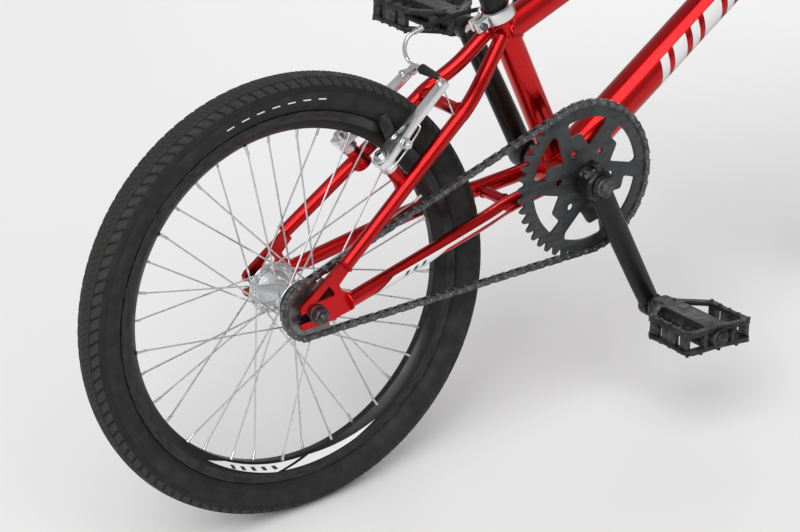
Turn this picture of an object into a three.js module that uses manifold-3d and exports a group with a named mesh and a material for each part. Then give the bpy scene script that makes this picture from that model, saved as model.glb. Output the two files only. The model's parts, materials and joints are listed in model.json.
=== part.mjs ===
// BMX race bike, rear rim brake, one-speed drive. Millimetres, +X forward, +Y left, +Z up.
// The origin is on the ground, midway between the two tyres, in the centre plane.
import * as THREE from "three";
import { mergeVertices } from "three/addons/utils/BufferGeometryUtils.js";
import Module from "manifold-3d";

const wasm = await Module();
wasm.setup();

// ---------- driving dimensions ----------
const GAP = 0.3; // clearance between touching pieces
const WHEELBASE = 1000;
const TYRE_RADIUS = 250;
const TYRE_HALF_WIDTH = 24;
const RIM_RADIUS = 210;
const RIM_BED = 188.5;
const CHAINSTAY = 373; // rear axle to bottom bracket
const BB_RISE = 38; // bottom bracket above the axles
const SEAT_ANGLE = 108.9; // from +X, so it leans back
const SEAT_TUBE_TOP = 224; // along the seat axis from the bottom bracket
const TOP_TUBE_AT = 194; // where the top tube meets the seat axis
const TOP_TUBE_SLOPE = 18.5;
const DOWN_TUBE_SLOPE = 30.8;
const HEAD_ANGLE = 74;
const FORK_OFFSET = 32;
const HEAD_BELOW_DOWN_TUBE = 27;
const HEAD_ABOVE_TOP_TUBE = 23;
const CUP_STACK = 11.5;
const SEAT_TUBE_R = 15.9;
const SEAT_POST_R = 13.6;
const TOP_TUBE_R = 17;
const DOWN_TUBE_R = 22.4;
const HEAD_TUBE_R = 22;
const HEAD_BORE_R = 17;
const CHAINSTAY_R = 9.5;
const SEATSTAY_R = 8.5;
const STAY_WALL = 1.6;
const BB_SHELL_R = 25;
const BB_BORE_R = 20.6;
const BB_HALF = 34;
const SPINDLE_R = 11;
const REAR_DROPOUT_IN = 55;
const REAR_DROPOUT_OUT = 61;
const FRONT_DROPOUT_IN = 50;
const FRONT_DROPOUT_OUT = 55;
const AXLE_R = 4.75;
const SLOT_HALF = 5.3;
const CRANK_LENGTH = 175;
const CRANK_ANGLE = -70.4; // right arm at rest
const ARM_R = 13;
const PITCH = 12.7; // chain pitch
const RING_TEETH = 44;
const COG_TEETH = 16;
const CHAIN_LINE = 46;
const PLATE_HALF = 1.8; // half thickness of ring and cog
const PEDAL_TILT_RIGHT = -7;
const PEDAL_TILT_LEFT = -8;
const BAR_R = 11.1;
const STEERER_R = 14.3;
const SPOKES_PER_SIDE = 18;
const SPOKE_SIZE = 2;

// ---------- small helpers ----------
const V = (x, y, z) => new THREE.Vector3(x, y, z);
const rad = THREE.MathUtils.degToRad;
const polar = (angle, length = 1) =>
  V(Math.cos(rad(angle)), 0, Math.sin(rad(angle))).multiplyScalar(length);
const pitchRadius = (teeth) => PITCH / 2 / Math.sin(Math.PI / teeth);
// Radius for a many-sided bore that clears a round pin of radius r.
const bore = (r, sides) => (r + GAP) / Math.cos(Math.PI / sides);
const mirrorY = (points, side) => points.map((p) => V(p.x, p.y * side, p.z));

function solid(geometry) {
  const g = geometry.clone();
  g.deleteAttribute("normal");
  g.deleteAttribute("uv");
  const m = mergeVertices(g, 1e-4);
  const mesh = new wasm.Mesh({
    numProp: 3,
    vertProperties: m.attributes.position.array,
    triVerts: new Uint32Array(m.index.array),
  });
  const made = new wasm.Manifold(mesh);
  if (made.volume() >= 0) return made;
  for (let i = 0; i < mesh.triVerts.length; i += 3)
    [mesh.triVerts[i + 1], mesh.triVerts[i + 2]] = [
      mesh.triVerts[i + 2],
      mesh.triVerts[i + 1],
    ];
  return new wasm.Manifold(mesh);
}

function geometryOf(made) {
  const { vertProperties, triVerts } = made.getMesh();
  return new THREE.BufferGeometry()
    .setAttribute("position", new THREE.Float32BufferAttribute(vertProperties, 3))
    .setIndex(Array.from(triVerts));
}

const join = (...parts) => parts.map(asSolid).reduce((a, b) => a.add(b));
const cut = (part, ...tools) =>
  tools.map(asSolid).reduce((a, b) => a.subtract(b), asSolid(part));
const asSolid = (x) => (x.isBufferGeometry ? solid(x) : x);

// Turns a profile of [radius, distance] pairs about the line that leaves `from` towards `to`.
function turned(from, to, profile, sides) {
  const points = profile.map(([r, h]) => new THREE.Vector2(r, h));
  const closed = profile[0][0] > 0;
  if (closed) points.push(points[0].clone());
  const direction = to.clone().sub(from).normalize();
  return new THREE.LatheGeometry(points, sides)
    .applyQuaternion(new THREE.Quaternion().setFromUnitVectors(V(0, 1, 0), direction))
    .translate(from.x, from.y, from.z);
}

const rod = (from, to, r, sides) =>
  turned(from, to, [[0, 0], [r, 0], [r, from.distanceTo(to)], [0, from.distanceTo(to)]], sides);
const pipe = (from, to, outer, inner, sides) => {
  const length = from.distanceTo(to);
  return turned(from, to, [[outer, 0], [outer, length], [inner, length], [inner, 0]], sides);
};

// A curve whose equal steps land on the given points, so a sweep puts one ring on each.
class Route extends THREE.Curve {
  constructor(points) {
    super();
    this.points = points;
  }
  getPoint(t) {
    const last = this.points.length - 1;
    const at = THREE.MathUtils.clamp(t, 0, 1) * last;
    const i = Math.min(Math.floor(at), last - 1);
    return this.points[i].clone().lerp(this.points[i + 1], at - i);
  }
  getPointAt(t) {
    return this.getPoint(t);
  }
  getTangentAt(t) {
    const last = this.points.length - 1;
    const i = Math.round(t * last);
    const into = this.points[Math.max(i, 1)].clone().sub(this.points[Math.max(i, 1) - 1]);
    const out = this.points[Math.min(i + 1, last)].clone().sub(this.points[Math.min(i, last - 1)]);
    return into.normalize().add(out.normalize()).normalize();
  }
}

// Replaces each inner corner of a line of points by an arc-like bend.
function rounded(points, radius, steps) {
  const out = [points[0]];
  for (let i = 1; i < points.length - 1; i++) {
    const p = points[i];
    const a = points[i - 1].clone().sub(p);
    const b = points[i + 1].clone().sub(p);
    const reach = Math.min(radius, a.length() * 0.48, b.length() * 0.48);
    const bend = new THREE.QuadraticBezierCurve3(
      p.clone().add(a.setLength(reach)),
      p,
      p.clone().add(b.setLength(reach)),
    );
    out.push(...bend.getPoints(steps));
  }
  out.push(points[points.length - 1]);
  return out;
}

function ring(r, sides, Kind = THREE.Shape) {
  const shape = new Kind();
  for (let i = 0; i < sides; i++) {
    const a = (2 * Math.PI * i) / sides;
    if (i === 0) shape.moveTo(r, 0);
    else shape.lineTo(r * Math.cos(a), r * Math.sin(a));
  }
  shape.closePath();
  return shape;
}

function bent(points, outer, inner, sides) {
  const shape = ring(outer, sides);
  if (inner > 0) shape.holes.push(ring(inner, sides, THREE.Path));
  return new THREE.ExtrudeGeometry(shape, {
    steps: points.length - 1,
    bevelEnabled: false,
    extrudePath: new Route(points),
    curveSegments: 1,
  });
}

function outline(pairs, holes = []) {
  const shape = new THREE.Shape(pairs.map(([x, y]) => new THREE.Vector2(x, y)));
  for (const hole of holes)
    shape.holes.push(new THREE.Path(hole.map(([x, y]) => new THREE.Vector2(x, y))));
  return shape;
}

// A flat plate whose outline is drawn in X and Z, between two values of Y.
function plate(shape, yLow, yHigh) {
  return new THREE.ExtrudeGeometry(shape, {
    depth: yHigh - yLow,
    bevelEnabled: false,
    curveSegments: 4,
  })
    .rotateX(Math.PI / 2)
    .translate(0, yHigh, 0);
}

const box = (x0, x1, y0, y1, z0, z1) =>
  new THREE.BoxGeometry(x1 - x0, y1 - y0, z1 - z0).translate(
    (x0 + x1) / 2,
    (y0 + y1) / 2,
    (z0 + z1) / 2,
  );

// ---------- finishes ----------
const finish = (color, roughness, metalness) => ({ color, roughness, metalness });
const RED = finish(0xb3141a, 0.28, 0.45);
const BLACK_PAINT = finish(0x17171a, 0.4, 0.2);
const BLACK_METAL = finish(0x1d1e20, 0.42, 0.7);
const DARK_STEEL = finish(0x3a3b3d, 0.4, 0.85);
const STEEL = finish(0xb9bbbd, 0.3, 0.95);
const POLISHED = finish(0xd6d8da, 0.2, 0.95);
const RUBBER = finish(0x191919, 0.85, 0);
const PLASTIC = finish(0x1b1b1d, 0.6, 0);

const bike = new THREE.Group();
bike.name = "bmx_bike";
const steering = new THREE.Group();
steering.name = "steering";
bike.add(steering);

function add(name, shape, look, group = bike) {
  const mesh = new THREE.Mesh(
    geometryOf(asSolid(shape)),
    new THREE.MeshStandardMaterial(look),
  );
  mesh.name = name;
  group.add(mesh);
}

// ---------- layout ----------
const REAR = V(-WHEELBASE / 2, 0, TYRE_RADIUS);
const FRONT = V(WHEELBASE / 2, 0, TYRE_RADIUS);
const BB = REAR.clone().add(V(Math.sqrt(CHAINSTAY ** 2 - BB_RISE ** 2), 0, BB_RISE));
const seatAxis = polar(SEAT_ANGLE);
const onSeat = (s) => BB.clone().addScaledVector(seatAxis, s);
const steerUp = polar(180 - HEAD_ANGLE);
const steerForward = polar(90 - HEAD_ANGLE);
const steerFoot = FRONT.clone().addScaledVector(steerForward, -FORK_OFFSET);
const onSteer = (s) => steerFoot.clone().addScaledVector(steerUp, s);
// Distance along the steering axis at which a line from `start` with a slope meets it.
function meetsSteering(start, slope) {
  const d = polar(slope);
  const gap = start.clone().sub(steerFoot);
  const cross = steerUp.x * d.z - steerUp.z * d.x;
  return (gap.x * d.z - gap.z * d.x) / cross;
}
const topTubeStart = onSeat(TOP_TUBE_AT);
const topTubeMeets = meetsSteering(topTubeStart, TOP_TUBE_SLOPE);
const downTubeMeets = meetsSteering(BB, DOWN_TUBE_SLOPE);
const HEAD_LOW = downTubeMeets - HEAD_BELOW_DOWN_TUBE;
const HEAD_HIGH = topTubeMeets + HEAD_ABOVE_TOP_TUBE;
const topTubeEnd = onSteer(topTubeMeets);
const downTubeEnd = onSteer(downTubeMeets);
steering.position.copy(steerFoot);
steering.rotation.y = -rad(90 - HEAD_ANGLE);

// ---------- main triangle ----------
const shellTool = rod(V(BB.x, -60, BB.z), V(BB.x, 60, BB.z), bore(BB_SHELL_R, 24), 24);
const seatTool = rod(onSeat(-20), onSeat(SEAT_TUBE_TOP + 20), bore(SEAT_TUBE_R, 20), 20);
const headTool = rod(onSteer(HEAD_LOW - 40), onSteer(HEAD_HIGH + 40), bore(HEAD_TUBE_R, 24), 24);

add("head_tube", pipe(onSteer(HEAD_LOW), onSteer(HEAD_HIGH), HEAD_TUBE_R, HEAD_BORE_R, 24), RED);
add("bottom_bracket_shell",
  pipe(V(BB.x, -BB_HALF, BB.z), V(BB.x, BB_HALF, BB.z), BB_SHELL_R, BB_BORE_R, 24), RED);
add("seat_tube",
  cut(pipe(BB, onSeat(SEAT_TUBE_TOP), SEAT_TUBE_R, bore(SEAT_POST_R, 20), 20), shellTool), RED);
add("top_tube",
  cut(pipe(topTubeStart, topTubeEnd, TOP_TUBE_R, TOP_TUBE_R - 1.6, 16), seatTool, headTool), RED);
add("down_tube",
  cut(pipe(BB, downTubeEnd, DOWN_TUBE_R, DOWN_TUBE_R - 1.8, 16), shellTool, seatTool, headTool), RED);

// ---------- rear triangle ----------
const dropoutOutline = [
  [-20, -13], [10, -14], [44, -9], [47, 9], [33, 16], [30, 24], [45, 37], [36, 47], [-17, 15],
  [-20, 11], [-20, SLOT_HALF], [6, SLOT_HALF], [9, 0], [6, -SLOT_HALF], [-23, -SLOT_HALF],
];
const dropoutWindow = [[-1, 13.5], [22, 14], [23, 17.5], [17, 26.5]];
const stayPoints = {
  chain: [V(-461, 59, 251), V(-310, 47, 273), V(-262, 41, 279), V(-231, 31.5, 281), V(-150, 24, 286)],
  seat: [V(-462, 61.5, 293), V(-272, 39, 416), V(-240, 25, 437), V(-205, 13.5, 469)],
};
const BRIDGE_AT = V(-281, 0, 410.5);
const YOKE_AT = V(-222, 0, 281.5);

// Rim-brake frame: z runs up along the seatstay, and the pivot axes run along -x, out behind it.
const stayDirection = stayPoints.seat[1].clone().sub(stayPoints.seat[0]).setY(0).normalize();
const PIVOT_FOOT = V(-366.5, 0, 354.8);
const PIVOT_Y = 40;
const brakeFrame = new THREE.Group();
brakeFrame.name = "brake_frame";
brakeFrame.position.copy(PIVOT_FOOT);
brakeFrame.rotation.y = Math.atan2(stayDirection.x, stayDirection.z);
bike.add(brakeFrame);
brakeFrame.updateMatrixWorld(true);
const BOSS_LENGTH = 27;
const BOSS_TOP = -24; // where the brake arm seats on the boss

for (const [side, hand] of [[1, "left"], [-1, "right"]]) {
  const [low, high] =
    side > 0 ? [REAR_DROPOUT_IN, REAR_DROPOUT_OUT] : [-REAR_DROPOUT_OUT, -REAR_DROPOUT_IN];
  const dropout = plate(outline(dropoutOutline, [dropoutWindow]), low, high)
    .translate(REAR.x, 0, REAR.z);
  add(`dropout_${hand}`, dropout, RED);
  const dropoutTool = plate(
    outline([[-40, -40], [50, -40], [50, 12], [38, 22], [50, 36], [42, 54], [-40, 30]]),
    low - GAP, high + GAP).translate(REAR.x, 0, REAR.z);
  const chainRoute = rounded(mirrorY(stayPoints.chain, side), 22, 2);
  add(`chainstay_${hand}`,
    cut(bent(chainRoute, CHAINSTAY_R, CHAINSTAY_R - STAY_WALL, 8), shellTool, seatTool, dropoutTool), RED);
  const seatRoute = rounded(mirrorY(stayPoints.seat, side), 18, 2);
  add(`seatstay_${hand}`,
    join(
      cut(bent(seatRoute, SEATSTAY_R, SEATSTAY_R - STAY_WALL, 8), seatTool, dropoutTool),
      cut(
        turned(V(BOSS_TOP + BOSS_LENGTH, side * PIVOT_Y, 0), V(-80, side * PIVOT_Y, 0),
          [[0, 0], [8, 0], [8, BOSS_LENGTH], [4, BOSS_LENGTH], [4, 50], [6.5, 50], [6.5, 53], [0, 53]], 10)
          .applyMatrix4(brakeFrame.matrixWorld),
        bent(seatRoute, SEATSTAY_R - 1.5, 0, 8),
      ),
    ), RED);
}

// A cross tube between two stays, its ends shaped to them.
function bridge(at, r, stay, stayR) {
  const reach = V(0, 60, 0);
  const tools = [1, -1].flatMap((side) => {
    const inner = mirrorY(stay, side);
    const outer = inner.map((p) => V(p.x, p.y + side * 15, p.z));
    return [bent(inner, stayR + 2 * GAP, 0, 8), bent(outer, stayR + 9, 0, 8)];
  });
  return cut(pipe(at.clone().sub(reach), at.clone().add(reach), r, r - STAY_WALL, 10), ...tools);
}
add("seatstay_bridge",
  bridge(BRIDGE_AT, 7.5, rounded(stayPoints.seat, 18, 2), SEATSTAY_R), RED);
add("chainstay_bridge",
  bridge(YOKE_AT, 6.5, rounded(stayPoints.chain, 22, 2), CHAINSTAY_R), RED);

// ---------- seat clamp, post and saddle ----------
const collarLow = onSeat(SEAT_TUBE_TOP - 12);
const collarHigh = onSeat(SEAT_TUBE_TOP + 2);
const rearward = polar(SEAT_ANGLE + 90);
const earAt = onSeat(SEAT_TUBE_TOP - 5).addScaledVector(rearward, 25);
const ears = box(-8, 8, -9, 9, -6, 6)
  .rotateY(rad(90 - SEAT_ANGLE))
  .translate(earAt.x, 0, earAt.z);
const earSlot = box(-14, 14, -1.2, 1.2, -14, 14)
  .rotateY(rad(90 - SEAT_ANGLE))
  .translate(earAt.x, 0, earAt.z);
const clampBolt = rod(V(earAt.x, -16, earAt.z), V(earAt.x, 16, earAt.z), 4, 10);
add("seat_clamp",
  join(
    cut(join(rod(collarLow, collarHigh, 20.5, 20), ears), rod(onSeat(150), onSeat(260),
      bore(SEAT_TUBE_R, 20), 20), earSlot),
    clampBolt,
  ), POLISHED);

const POST_TOP = 318;
const SEAT_HEAD = onSeat(POST_TOP + 2);
add("seat_post", pipe(onSeat(96), onSeat(POST_TOP), SEAT_POST_R, SEAT_POST_R - 2.2, 20), BLACK_METAL);

const SADDLE_TILT = 5; // nose a little up
const RAIL_R = 3.5;
const RAIL_Y = 22;
const seatFrame = new THREE.Group();
seatFrame.name = "seat_frame";
seatFrame.position.copy(SEAT_HEAD);
seatFrame.rotation.y = -rad(SADDLE_TILT);
bike.add(seatFrame);
const railSide = [V(-78, 36, 26), V(-52, RAIL_Y, 7), V(45, RAIL_Y, 7), V(96, 12, 27), V(112, 0, 24)];
const railRoute = rounded([...railSide, ...mirrorY(railSide, -1).reverse().slice(1)], 16, 2);
add("saddle_rails", bent(railRoute, RAIL_R, 0, 8), BLACK_METAL, seatFrame);
// A sleeve over the post with a block across it that grips both rails.
const onPost = (s) => polar(SEAT_ANGLE - SADDLE_TILT, 1).multiplyScalar(s);
const headBody = cut(
  join(rod(onPost(-30), onPost(3), 18, 16), box(-15, 15, -30, 30, 1, 13)),
  rod(onPost(-45), onPost(-2 + GAP), bore(SEAT_POST_R, 20), 20),
  ...[RAIL_Y, -RAIL_Y].map((y) => rod(V(-40, y, 7), V(40, y, 7), bore(RAIL_R, 8) + GAP, 8)),
);
add("saddle_clamp", headBody, BLACK_METAL, seatFrame);

function saddlePlan(grow) {
  const s = new THREE.Shape();
  s.moveTo(-108 - grow, 0);
  s.bezierCurveTo(-112 - grow, 34, -104 - grow, 62 + grow, -74, 63 + grow);
  s.bezierCurveTo(-30, 63 + grow, 0, 26 + grow, 60, 21 + grow);
  s.bezierCurveTo(110, 19 + grow, 138 + grow, 16, 139 + grow, 0);
  s.bezierCurveTo(138 + grow, -16, 110, -19 - grow, 60, -21 - grow);
  s.bezierCurveTo(0, -26 - grow, -30, -63 - grow, -74, -63 - grow);
  s.bezierCurveTo(-104 - grow, -62 - grow, -112 - grow, -34, -108 - grow, 0);
  return s;
}
const railTool = bent(railRoute, RAIL_R + 2 * GAP, 0, 8);
const saddleBase = new THREE.ExtrudeGeometry(saddlePlan(-7), {
  depth: 10, bevelEnabled: false, curveSegments: 4,
}).translate(0, 0, 23);
add("saddle_base", cut(saddleBase, railTool), PLASTIC, seatFrame);
add("saddle_cover",
  new THREE.ExtrudeGeometry(saddlePlan(-9), {
    depth: 6, bevelEnabled: true, bevelThickness: 7, bevelSize: 9, bevelSegments: 2, curveSegments: 4,
  }).translate(0, 0, 40 + GAP), RUBBER, seatFrame);

// ---------- wheels ----------
const WHEEL_SIDES = 36;
const tyreHalf = [[205, 11.7], [RIM_RADIUS + GAP, 11.8], [212.5, 17.5], [226, TYRE_HALF_WIDTH], [241, 19],
  [248.5, 9]];
const tyreInner = [[244, 7], [227, 20], [205, 8.6]];
const flip = (profile) => profile.map(([r, y]) => [r, -y]).reverse();
const tyreProfile = [
  ...tyreHalf, [TYRE_RADIUS, 0], ...flip(tyreHalf), ...flip(tyreInner), ...tyreInner,
];
const rimHalf = [[RIM_BED, 4], [200, 12.8], [RIM_RADIUS, 14.2], [RIM_RADIUS, 12.2], [204.2, 12],
  [198, 6]];
const rimProfile = [...rimHalf, ...flip(rimHalf)];
const alongY = (centre, profile, sides) =>
  turned(centre, centre.clone().add(V(0, 1, 0)), profile, sides);

// One side's spokes. Leading and trailing ones pass a little apart and share a ring at the flange.
const SPOKE_LEAN = 60; // degrees each spoke runs round the wheel
const SPOKE_APART = 3.6;
function spokeSet(centre, side, flangeY, holeR) {
  const made = [];
  for (let i = 0; i < SPOKES_PER_SIDE; i++) {
    const hub = (2 * Math.PI * (i + (side > 0 ? 0.5 : 0))) / SPOKES_PER_SIDE;
    const lean = rad(i % 2 ? SPOKE_LEAN : -SPOKE_LEAN);
    const inset = i % 2 ? SPOKE_APART : 0;
    const a = V(holeR * Math.cos(hub), side * (flangeY - inset), holeR * Math.sin(hub));
    const rimR = RIM_BED - 0.9;
    const b = V(rimR * Math.cos(hub + lean), side * (5.5 - inset), rimR * Math.sin(hub + lean));
    made.push(rod(a.add(centre), b.add(centre), SPOKE_SIZE / 2, 3));
  }
  const band = [flangeY - SPOKE_APART - 1, flangeY + 0.8].map((y) => side * y);
  made.push(alongY(centre, [[holeR + 1.6, band[0]], [holeR + 1.6, band[1]], [holeR - 1.6, band[1]],
    [holeR - 1.6, band[0]]], SPOKES_PER_SIDE));
  return join(...made);
}

const wheels = [
  {
    name: "rear", at: REAR, holeR: 25, flange: { left: 30, right: 27 },
    hub: [[7, -34.5], [19, -34.5], [19, -29.5], [29, -29], [29, -27.6], [20.5, -26.4], [14, -20],
      [14, 20], [20.5, 29], [29, 30.6], [29, 32], [16, 33], [16, 46], [7, 46]],
  },
  {
    name: "front", at: FRONT, holeR: 18.5, flange: { left: 34, right: 34 },
    hub: [[6.4, -42], [14, -42], [14, -37], [22, -36.4], [22, -34.8], [15.5, -33], [12, -26],
      [12, 26], [15.5, 33], [22, 34.8], [22, 36.4], [14, 37], [14, 42], [6.4, 42]],
  },
];
for (const wheel of wheels) {
  add(`${wheel.name}_tyre`, alongY(wheel.at, tyreProfile, WHEEL_SIDES), RUBBER);
  add(`${wheel.name}_rim`, alongY(wheel.at, rimProfile, WHEEL_SIDES), BLACK_METAL);
  add(`${wheel.name}_hub`, alongY(wheel.at, wheel.hub, 16), POLISHED);
  for (const [side, hand] of [[1, "left"], [-1, "right"]])
    add(`${wheel.name}_spokes_${hand}`,
      spokeSet(wheel.at, side, wheel.flange[hand] - 1.6, wheel.holeR), STEEL);
}

function axle(centre, inner, outer, end, cone) {
  const half = [[8.2, inner - cone], [8.2, inner - GAP], [AXLE_R, inner - GAP], [AXLE_R, outer + GAP],
    [11, outer + GAP], [8.6, outer + 2.3], [8.6, outer + 11], [AXLE_R, outer + 11], [AXLE_R, end]];
  const middle = [[AXLE_R, cone - inner], [AXLE_R, inner - cone]];
  const profile = [[0, -end], ...flip(half), ...middle, ...half, [0, end]];
  return alongY(centre, profile, 10);
}
add("rear_axle", axle(REAR, REAR_DROPOUT_IN, REAR_DROPOUT_OUT, 76, 3), DARK_STEEL);
add("front_axle", axle(FRONT, FRONT_DROPOUT_IN, FRONT_DROPOUT_OUT, 70, 7), DARK_STEEL);

// ---------- drive ----------
function toothed(teeth, tipLift) {
  const pitchR = pitchRadius(teeth);
  const points = [];
  for (let i = 0; i < teeth; i++)
    for (const [share, r] of [[0, pitchR - 4], [0.36, pitchR + tipLift], [0.64, pitchR + tipLift]]) {
      const a = (2 * Math.PI * (i + share)) / teeth;
      points.push([r * Math.cos(a), r * Math.sin(a)]);
    }
  return points;
}
const circle = (r, sides, x = 0, z = 0) =>
  Array.from({ length: sides }, (_, i) => {
    const a = (2 * Math.PI * i) / sides;
    return [x + r * Math.cos(a), z + r * Math.sin(a)];
  });
// Ring window as [radius, degrees after its first edge]; six of them, each with a drive hole beside it.
const WINDOW = [[73, 1], [66, -1], [39, 14], [39, 17], [56, 30.5], [56, 46], [73, 43.5], [73, 29], [73, 15]];
const WINDOW_START = 1;
const DRIVE_HOLE = { radius: 36, after: 50, r: 4 };
const ringHoles = [circle(SPINDLE_R + 0.7, 20)];
for (let k = 0; k < 6; k++) {
  const start = WINDOW_START + 60 * k;
  ringHoles.push(WINDOW.map(([r, a]) => [r * Math.cos(rad(start + a)), r * Math.sin(rad(start + a))]));
  const a = rad(start + DRIVE_HOLE.after);
  ringHoles.push(circle(DRIVE_HOLE.r, 8, DRIVE_HOLE.radius * Math.cos(a), DRIVE_HOLE.radius * Math.sin(a)));
}
const drivePlate = (points, holes, centre, turn) =>
  plate(outline(points, holes), -PLATE_HALF, PLATE_HALF)
    .rotateY(-rad(turn))
    .translate(centre.x, -CHAIN_LINE, centre.z);
const RING_TURN = 0.44 + 180 / RING_TEETH; // puts a gap between teeth at a chain roller
const turnBack = ([x, z]) => {
  const a = -rad(RING_TURN);
  return [x * Math.cos(a) - z * Math.sin(a), x * Math.sin(a) + z * Math.cos(a)];
};
add("chainring", drivePlate(toothed(RING_TEETH, 4.2), ringHoles.map((hole) => hole.map(turnBack)),
  BB, RING_TURN), BLACK_METAL);
add("freewheel_cog", drivePlate(toothed(COG_TEETH, 3.8), [circle(14.8, 18)], REAR, 0), DARK_STEEL);
add("freewheel_body", alongY(REAR,
  [[7, -51], [18, -51], [18, -48.8], [14.3, -48.8], [14.3, -41], [16, -41], [16, -35], [7, -35]], 18),
BLACK_METAL);

// Chain: two rows of side plates round the loop, tied by pins on the free runs.
const ringR = pitchRadius(RING_TEETH);
const cogR = pitchRadius(COG_TEETH);
const span = BB.clone().sub(REAR);
const runLength = Math.sqrt(span.lengthSq() - (ringR - cogR) ** 2);
const spanAngle = Math.atan2(span.z, span.x);
const wrap = Math.acos((ringR - cogR) / span.length());
function chainLoop(offset, ringSteps, cogSteps) {
  const points = [];
  const arc = (centre, r, from, to, steps) => {
    for (let i = 0; i <= steps; i++) {
      const a = from + ((to - from) * i) / steps;
      points.push([centre.x + (r + offset) * Math.cos(a), centre.z + (r + offset) * Math.sin(a)]);
    }
  };
  const ringTop = spanAngle + Math.PI - wrap;
  const ringLow = spanAngle - Math.PI + wrap;
  arc(BB, ringR, ringLow, ringTop, ringSteps);
  arc(REAR, cogR, ringTop, ringLow + 2 * Math.PI, cogSteps);
  return points;
}
const CHAIN_PLATE = [2, 4];
const sideBand = (low, high) =>
  plate(outline(chainLoop(4.2, 16, 8), [chainLoop(-4.2, 16, 8)]), low, high);
const chainPins = [];
for (const side of [1, -1]) {
  const normal = spanAngle + side * (Math.PI - wrap);
  const start = REAR.clone().add(V(cogR * Math.cos(normal), 0, cogR * Math.sin(normal)));
  const along = V(Math.cos(normal - (side * Math.PI) / 2), 0, Math.sin(normal - (side * Math.PI) / 2));
  for (const share of [0.2, 0.4, 0.6]) {
    const at = start.clone().addScaledVector(along, runLength * share);
    chainPins.push(rod(V(at.x, -CHAIN_LINE - 3, at.z), V(at.x, -CHAIN_LINE + 3, at.z), 3.8, 8));
  }
}
add("chain",
  join(
    sideBand(-CHAIN_LINE - CHAIN_PLATE[1], -CHAIN_LINE - CHAIN_PLATE[0]),
    sideBand(-CHAIN_LINE + CHAIN_PLATE[0], -CHAIN_LINE + CHAIN_PLATE[1]),
    ...chainPins,
  ), DARK_STEEL);

// ---------- cranks and pedals ----------
add("bottom_bracket_cartridge", alongY(BB, [[BB_BORE_R - GAP, -BB_HALF], [23.5, -BB_HALF - GAP],
  [23.5, -BB_HALF - 2.5], [12.1, -BB_HALF - 2.5], [12.1, BB_HALF + 2.5], [23.5, BB_HALF + 2.5],
  [23.5, BB_HALF + GAP], [BB_BORE_R - GAP, BB_HALF]], 24), BLACK_METAL);
const ARM_IN = 52;
const ARM_OUT = 84;
const PEDAL_EYE = [73, 86];
const ARM_FLAT = 0.72; // thickness of the arm against its width
add("crank_spindle", rod(V(BB.x, -ARM_OUT - 1, BB.z), V(BB.x, ARM_OUT + 1, BB.z), SPINDLE_R, 20),
  DARK_STEEL);
const PEDAL_OUTLINE = [[4, -11], [20, -12], [47, -48], [113, -48], [120, -41], [120, 41], [113, 48],
  [47, 48], [20, 12], [4, 11]];
const PEDAL_WINDOW = [[32, 16], [52, 39], [109, 39], [109, 16]];
const PEDAL_HALF = 12.5;
const PEDAL_AXLE_R = 6;
const cranks = [
  { hand: "right", side: -1, angle: CRANK_ANGLE, tilt: PEDAL_TILT_RIGHT },
  { hand: "left", side: 1, angle: CRANK_ANGLE + 180, tilt: PEDAL_TILT_LEFT },
];
for (const { hand, side, angle, tilt } of cranks) {
  const eye = BB.clone().add(polar(angle, CRANK_LENGTH));
  const at = (p, y) => V(p.x, side * y, p.z);
  const armTube = turned(at(BB, 0), at(eye, 12), [[0, 8], [ARM_R + 1, 8], [ARM_R, CRANK_LENGTH - 3],
    [0, CRANK_LENGTH - 3]], 12)
    .scale(1, ARM_FLAT, 1)
    .translate(0, side * 70, 0);
  const pinch = box(24, 44, -9, 9, -12, 12)
    .rotateY(-rad(angle + 90))
    .translate(BB.x, side * 68, BB.z);
  add(`crank_arm_${hand}`,
    cut(
      join(
        rod(at(BB, ARM_IN), at(BB, ARM_OUT), 19, 20),
        rod(at(eye, PEDAL_EYE[0]), at(eye, PEDAL_EYE[1]), 14, 16),
        armTube,
        box(-12, 12, -9, 9, 8, 27).rotateY(-rad(angle + 90)).translate(BB.x, side * 68, BB.z),
      ),
      rod(at(BB, ARM_IN - 5), at(BB, ARM_OUT + 5), bore(SPINDLE_R, 20), 20),
      rod(at(eye, 60), at(eye, 96), bore(PEDAL_AXLE_R, 12), 12),
      pinch,
    ), BLACK_PAINT);
  add(`pedal_axle_${hand}`, rod(at(eye, PEDAL_EYE[0] + 1), at(eye, PEDAL_EYE[1] + 106), PEDAL_AXLE_R, 12),
    STEEL);
  const windows = [1, -1].map((s) => PEDAL_WINDOW.map(([u, v]) => [u, v * s]));
  const body = new THREE.ExtrudeGeometry(outline(PEDAL_OUTLINE, windows), {
    depth: 2 * PEDAL_HALF, bevelEnabled: false,
  }).translate(0, 0, -PEDAL_HALF);
  const pedal = cut(body, rod(V(-5, 0, 0), V(110, 0, 0), bore(PEDAL_AXLE_R, 12) + 0.1, 12));
  add(`pedal_${hand}`,
    geometryOf(pedal)
      .rotateZ((side * Math.PI) / 2)
      .rotateY(-rad(tilt))
      .translate(eye.x, side * PEDAL_EYE[1], eye.z), PLASTIC);
}

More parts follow.
